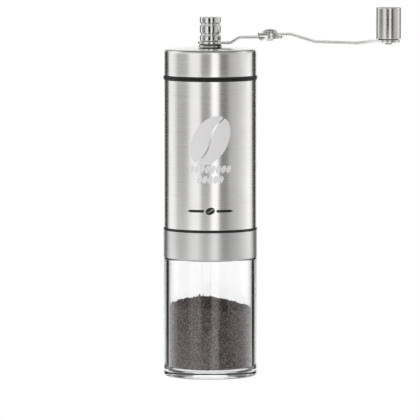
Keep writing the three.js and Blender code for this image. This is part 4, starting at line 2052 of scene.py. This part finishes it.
    def build_rivet(self) -> None:
        """The domed rivet, peened below."""
        foot, top = self.rivet.foot, self.rivet.top
        seat, head, rise = top - 2.2, 3.8, 1.4
        rim = top - rise
        ball = (head**2 + rise**2) / (2 * rise)
        steps = 18
        limit = math.asin(min(1.0, head / ball))
        angles = [limit * (1 - i / steps) for i in range(steps)]
        dome = [(ball * math.sin(a), top - ball + ball * math.cos(a)) for a in angles]
        tail = rounded(
            [(0, foot), (1.7, foot, 0.3), (1.95, foot + 1.1, 0.1), (1.45, foot + 1.1)],
            closed=False,
        )
        edge = rounded([(1.45, seat), (head, seat, 0.1), (head, rim, 0.15), dome[3]], closed=False)
        profile = [*tail, *edge, *dome[4:], (0.0, top)]
        home = ("crank_outer", "polished_steel", "hinge_rivet")
        turn_piece("rivet", profile, "polished_stainless", home, centre=(self.hinge_x, 0.0))

    def build_grip(self) -> None:
        """The turning steel grip with its pin, washer and nylon sleeve."""
        centre = (self.grip_x, 0.0)
        foot, top, outside = self.grip.foot, self.grip.top, self.grip.radius
        ceiling = top - 1.8
        profile = rounded(
            [
                (0, ceiling), (5.35, ceiling, 0.3), (5.35, foot, 0.1), (outside, foot, 0.35),
                (outside, top, 0.9), (0, top),
            ],
            closed=False,
            steps=8,
        )
        home = ("grip", "brushed_steel", "grip_shell")
        piece = turn_piece("grip", profile, "satin_grip", home, ROUND_WIDE, centre=centre)
        dress_above(piece, "polished_end", top - 0.02)
        pin_foot, shoulder, head = self.pin.foot, 181.62, 195.2
        pin = rounded(
            [
                (0, pin_foot), (1.8, pin_foot, 0.4), (2.0, pin_foot + 0.9, 0.1),
                (1.45, pin_foot + 0.9), (1.45, shoulder), (2.2, shoulder, 0.1), (2.2, head),
                (3.4, head, 0.2), (3.4, self.pin.top, 0.4), (0, self.pin.top),
            ],
            closed=False,
        )
        seat, sleeve = ring_of(self.grip_ring, 2.45, 0.08), ring_of(self.bush, 2.4, 0.25)
        # The grip seat's black colour is painted shade for the dark gap between the grip and the
        # arm.
        for name, line, finish, home in (
            ("grip_axle", pin, "turned_steel", ("crank_outer", "plain_steel", "grip_pin")),
            ("grip_seat_painted_shade", seat, "black_abs", ("crank_outer", "black_plastic", "grip_washer")),
            ("grip_sleeve", sleeve, "natural_nylon", ("grip", "nylon", "grip_bush")),
        ):
            turn_piece(name, line, finish, home, centre=centre)


# ---------------------------------------------------------------- marks


@dataclass
class TubeMarks:
    """Plain ornaments on the tube's front: an etched coffee bean, two rows and a printed rule."""

    depth: float = 0.035
    sink: float = 0.015
    rows: tuple[tuple[float, int], ...] = ((113.3, 8), (107.7, 5))
    pitch: float = 2.9
    rule_height: float = 90.8
    bar: Place = (3.4, 11.0, 13.0)
    bar_half: float = 0.7
    tube: Extent = node_extent("hopper_tube")

    def wrap(self, point: Vector) -> Place:
        """Wraps a flat point on the tube. Its x runs round the tube and its y is a height.

        Args:
            point: the flat point, whose z is its depth in the mark.

        Returns:
            The point on the tube's outside.
        """
        angle = point.x / self.tube.radius
        radius = self.tube.radius - self.sink + point.z
        return (radius * math.sin(angle), -radius * math.cos(angle), point.y)

    def bean(self, centre: Point, length: float, width: float, lean: float) -> list[Profile]:
        """The two halves of a coffee bean, with its curved crease between them.

        Args:
            centre: its middle.
            length: its length.
            width: its width.
            lean: angle of its long axis.

        Returns:
            The outlines of its halves.
        """
        steps, gap = 40, 0.045
        turn = Matrix.Rotation(lean, 2)

        def crease(t: float) -> float:
            """Offset of the crease from the bean's long axis."""
            return 0.16 * math.sin(t * math.pi) * (1 - 0.25 * t * t)

        halves = []
        for side in (1, -1):
            edge, inner = [], []
            for step in range(steps + 1):
                t = -0.985 + 1.97 * step / steps
                edge.append((t, side * max(math.sqrt(1 - t * t), 0.0)))
                inner.append((t, crease(t) + side * gap))
            edge = [
                (t, y if side * (y - crease(t)) > gap else crease(t) + side * gap * 1.5)
                for t, y in edge
            ]
            loop = edge + list(reversed(inner))
            points = [turn @ Vector((t * length / 2, y * width / 2)) for t, y in loop]
            halves.append([(p.x + centre[0], p.y + centre[1]) for p in points])
        return halves

    def plates(self, loops: Sequence[Profile]) -> list[Shape]:
        """Thin wrapped plates from flat outlines.

        Args:
            loops: the flat outlines.

        Returns:
            One closed shape for each outline.
        """
        shapes = []
        for loop in loops:
            xs = [x for x, _ in loop]
            cuts = [float(x) for x in range(math.ceil(min(xs)), math.floor(max(xs)) + 1)]
            shapes.append(stamped(loop, (), self.depth, 0.0, {"x": cuts}, self.wrap))
        return shapes

    def fix(self, name: str, loops: Sequence[Profile], finish: str) -> None:
        """Turns outlines into one piece of thin wrapped plates on the tube.

        Args:
            name: the piece's name.
            loops: the flat outlines.
            finish: name of the finish.
        """
        piece = finish_piece(name, merged(self.plates(loops)), finish)
        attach(piece, "body")

    def build(self) -> None:
        """Builds the etched ornaments and the printed rule."""
        loops = self.bean((0.0, 128.6), 29.0, 19.0, math.radians(58))
        for height, count in self.rows:
            for index in range(count):
                x = (index - (count - 1) / 2) * self.pitch
                loops += self.bean((x, height), 4.4, 2.5, math.radians(68))
        self.fix("etched_ornament", loops, "etched_stainless")
        start, neck, end = self.bar
        half = self.bar_half
        loops = []
        for side in (-1, 1):
            bar = [(start, -half), (neck, -half), (end, 0.0), (neck, half), (start, half)]
            loops.append([(side * x, y + self.rule_height) for x, y in bar][::side])
        loops += self.bean((0.0, self.rule_height), 5.2, 3.7, math.radians(20))
        self.fix("printed_rule", loops, "black_print")


# ---------------------------------------------------------------- studio


@dataclass(frozen=True)
class SkyStop:
    """One place in the surroundings' brightness round the object.

    Args:
        degrees: direction, with 0 towards the viewer and positive to the right.
        level: brightness, where 1 is plain white.
    """

    degrees: float
    level: float


def sky(*pairs: Point) -> tuple[SkyStop, ...]:
    """Sky stops from pairs of degrees and level."""
    return tuple(SkyStop(*pair) for pair in pairs)


@dataclass
class Studio:
    """A white table and a ring of soft boxes and dark flags, as for a product shot."""

    wide: tuple[SkyStop, ...] = sky(
        (-180, 1.0), (-166, 1.0), (-163, 0.03), (-138, 0.03),
        (-133, 1.15), (-104, 1.3), (-88, 0.84), (-70, 0.84),
        (-52, 1.15), (-32, 1.3), (-22, 0.82), (-2, 0.84),
        (1, 1.6), (18, 1.6), (24, 0.46), (42, 0.44),
        (70, 0.58), (96, 0.95), (112, 1.3), (133, 1.15),
        (138, 0.03), (163, 0.03), (166, 1.0), (180, 1.0),
    )
    level_view: tuple[SkyStop, ...] = sky(
        (-180, 1.0), (-158, 1.0), (-153, 0.03), (-129, 0.03),
        (-124, 1.1), (-104, 1.0), (-88, 0.35), (-60, 0.3),
        (-50, 1.0), (-26, 1.1), (-20, 0.04), (2, 0.04),
        (5, 1.2), (20, 1.2), (25, 0.06), (40, 0.08),
        (50, 0.6), (80, 0.8), (112, 1.2), (124, 1.0),
        (129, 0.03), (153, 0.03), (158, 1.0), (180, 1.0),
    )
    overhead: float = 0.3
    upper_haze: float = 0.5
    ground: float = 0.8

    def build(self) -> None:
        """Builds floor, surroundings, lamps and camera."""
        self.build_floor()
        self.build_world()
        self.build_lamp("top_softbox", (0.0, 0.1, 0.95), (0.0, 0.0, 0.1), 0.9, 1.5)
        self.build_camera()

    def build_floor(self) -> None:
        """A white table that glows evenly for the camera alone and shows no shadow."""
        size, drop = 6.0, 0.0002
        mesh = bpy.data.meshes.new("table")
        signs = ((-1, -1), (1, -1), (1, 1), (-1, 1))
        corners = [(size * x, size * y, -drop) for x, y in signs]
        mesh.from_pydata(corners, [], [(0, 1, 2, 3)])
        table = bpy.data.objects.new("table", mesh)
        bpy.context.scene.collection.objects.link(table)
        material = bpy.data.materials.new("white_table")
        material.use_nodes = True
        tree = material.node_tree
        tree.nodes.clear()
        glow = add_node(tree, "ShaderNodeEmission", {"Color": (1, 1, 1, 1), "Strength": 1.0})
        output = add_node(tree, "ShaderNodeOutputMaterial")
        tree.links.new(glow.outputs[0], output.inputs["Surface"])
        table.visible_diffuse = table.visible_glossy = table.visible_transmission = False
        mesh.materials.append(material)

    def build_world(self) -> None:
        """White behind the object, and a ring of boxes and flags in what it reflects."""
        world = bpy.data.worlds.new("studio")
        bpy.context.scene.world = world
        world.use_nodes = True
        tree = world.node_tree
        tree.nodes.clear()
        ray = add_node(tree, "ShaderNodeTexCoord")
        parts = add_node(tree, "ShaderNodeSeparateXYZ", {0: ray.outputs["Generated"]})
        back = add_node(
            tree, "ShaderNodeMath", {0: parts.outputs["Y"], 1: -1.0}, operation="MULTIPLY"
        )
        angle = add_node(
            tree, "ShaderNodeMath", {0: parts.outputs["X"], 1: back.outputs[0]}, operation="ARCTAN2"
        )
        turn = add_node(
            tree,
            "ShaderNodeMapRange",
            {"Value": angle.outputs[0], "From Min": -math.pi, "From Max": math.pi},
        )
        height = parts.outputs["Z"]
        colour = self.ring_light(tree, turn.outputs[0], self.level_view)
        around = self.ring_light(tree, turn.outputs[0], self.wide)
        size = add_node(tree, "ShaderNodeMath", {0: height}, operation="ABSOLUTE")
        colour = self.blend(tree, colour, around, size.outputs[0], (0.1, 0.2))
        haze = add_node(
            tree,
            "ShaderNodeMapRange",
            {"Value": height, "From Min": 0.2, "From Max": 0.35, "To Max": self.upper_haze},
        )
        lifted = add_node(
            tree, "ShaderNodeVectorMath", {0: colour, 1: haze.outputs[0]}, operation="MAXIMUM"
        )
        colour = lifted.outputs[0]
        for level, bounds in ((self.overhead, (0.55, 0.85)), (self.ground, (-0.35, -0.7))):
            colour = self.blend(tree, colour, (level, level, level, 1.0), height, bounds)
        seen = add_node(tree, "ShaderNodeBackground", {"Color": (1, 1, 1, 1), "Strength": 1.0})
        reflected = add_node(tree, "ShaderNodeBackground", {"Color": colour, "Strength": 1.0})
        path = add_node(tree, "ShaderNodeLightPath")
        pick = add_node(
            tree,
            "ShaderNodeMixShader",
            {0: path.outputs["Is Camera Ray"], 1: reflected.outputs[0], 2: seen.outputs[0]},
        )
        output = add_node(tree, "ShaderNodeOutputWorld")
        tree.links.new(pick.outputs[0], output.inputs["Surface"])

    def ring_light(
        self, tree: Tree, turn: Socket, stops: Sequence[SkyStop]
    ) -> Socket:
        """Brightness round the object from its stops.

        Args:
            tree: the world's tree.
            turn: direction round the object, from 0 to 1.
            stops: the stops.

        Returns:
            The brightness as a colour.
        """
        ramp = add_node(tree, "ShaderNodeValToRGB", {"Fac": turn})
        brightest = max(stop.level for stop in stops)
        elements = ramp.color_ramp.elements
        for index, stop in enumerate(stops):
            where = (stop.degrees + 180) / 360
            element = elements[index] if index < 2 else elements.new(where)
            element.position = where
            element.color = (*(stop.level / brightest,) * 3, 1.0)
        scaled = add_node(
            tree, "ShaderNodeVectorMath", {0: ramp.outputs[0], 1: (brightest,) * 3},
            operation="MULTIPLY",
        )
        return scaled.outputs[0]

    def blend(
        self,
        tree: Tree,
        first: Socket,
        second: Socket | Colour,
        value: Socket,
        bounds: tuple[float, float],
    ) -> Socket:
        """Goes smoothly from one colour to another as a value passes between two bounds.

        Args:
            tree: the node tree.
            first: colour up to the first bound.
            second: colour from the second bound on.
            value: socket with the value.
            bounds: values where the change starts and ends.

        Returns:
            The socket with the colour.
        """
        factor = add_node(
            tree,
            "ShaderNodeMapRange",
            {"Value": value, "From Min": bounds[0], "From Max": bounds[1]},
            interpolation_type="SMOOTHSTEP",
        )
        sockets = {0: factor.outputs[0], 6: first, 7: second}
        return add_node(tree, "ShaderNodeMix", sockets, data_type="RGBA").outputs[2]

    def build_lamp(
        self, name: str, at: Sequence[float], towards: Sequence[float], size: float, power: float
    ) -> None:
        """Adds a square soft box.

        Args:
            name: the lamp's name.
            at: its place.
            towards: the point it faces.
            size: its side in metres.
            power: its power in watts.
        """
        light = bpy.data.lights.new(name, "AREA")
        light.size = size
        light.energy = power
        lamp = bpy.data.objects.new(name, light)
        lamp.visible_glossy = False
        lamp.location = at
        lamp.rotation_euler = (Vector(towards) - Vector(at)).to_track_quat("-Z", "Y").to_euler()
        bpy.context.scene.collection.objects.link(lamp)

    def build_camera(self) -> None:
        """A long lens a little above the grinder."""
        lens = bpy.data.cameras.new("camera")
        lens.lens, lens.sensor_width = 429.86, 36.0
        lens.shift_x = -0.0007
        lens.clip_end = 50.0
        camera = bpy.data.objects.new("camera", lens)
        camera.location = (0.0, -2.7, 0.3088)
        aim = Vector((0.0, 0.0, 0.0895)) - camera.location
        camera.rotation_euler = aim.to_track_quat("-Z", "Y").to_euler()
        bpy.context.scene.collection.objects.link(camera)
        scene = bpy.context.scene
        scene.camera = camera
        scene.view_settings.view_transform = "Standard"
        scene.view_settings.look = "None"


# ---------------------------------------------------------------- the whole


def main() -> None:
    """Builds the grinder and its studio."""
    logging.basicConfig(level=logging.INFO, format="%(name)s: %(message)s")
    jar = Jar()
    for assembly in (jar, CoffeeGrounds(jar=jar), MillBody(), Rotor(), Lid(), Crank(), TubeMarks()):
        assembly.build()
    Studio().build()


if __name__ == "__main__":
    main()
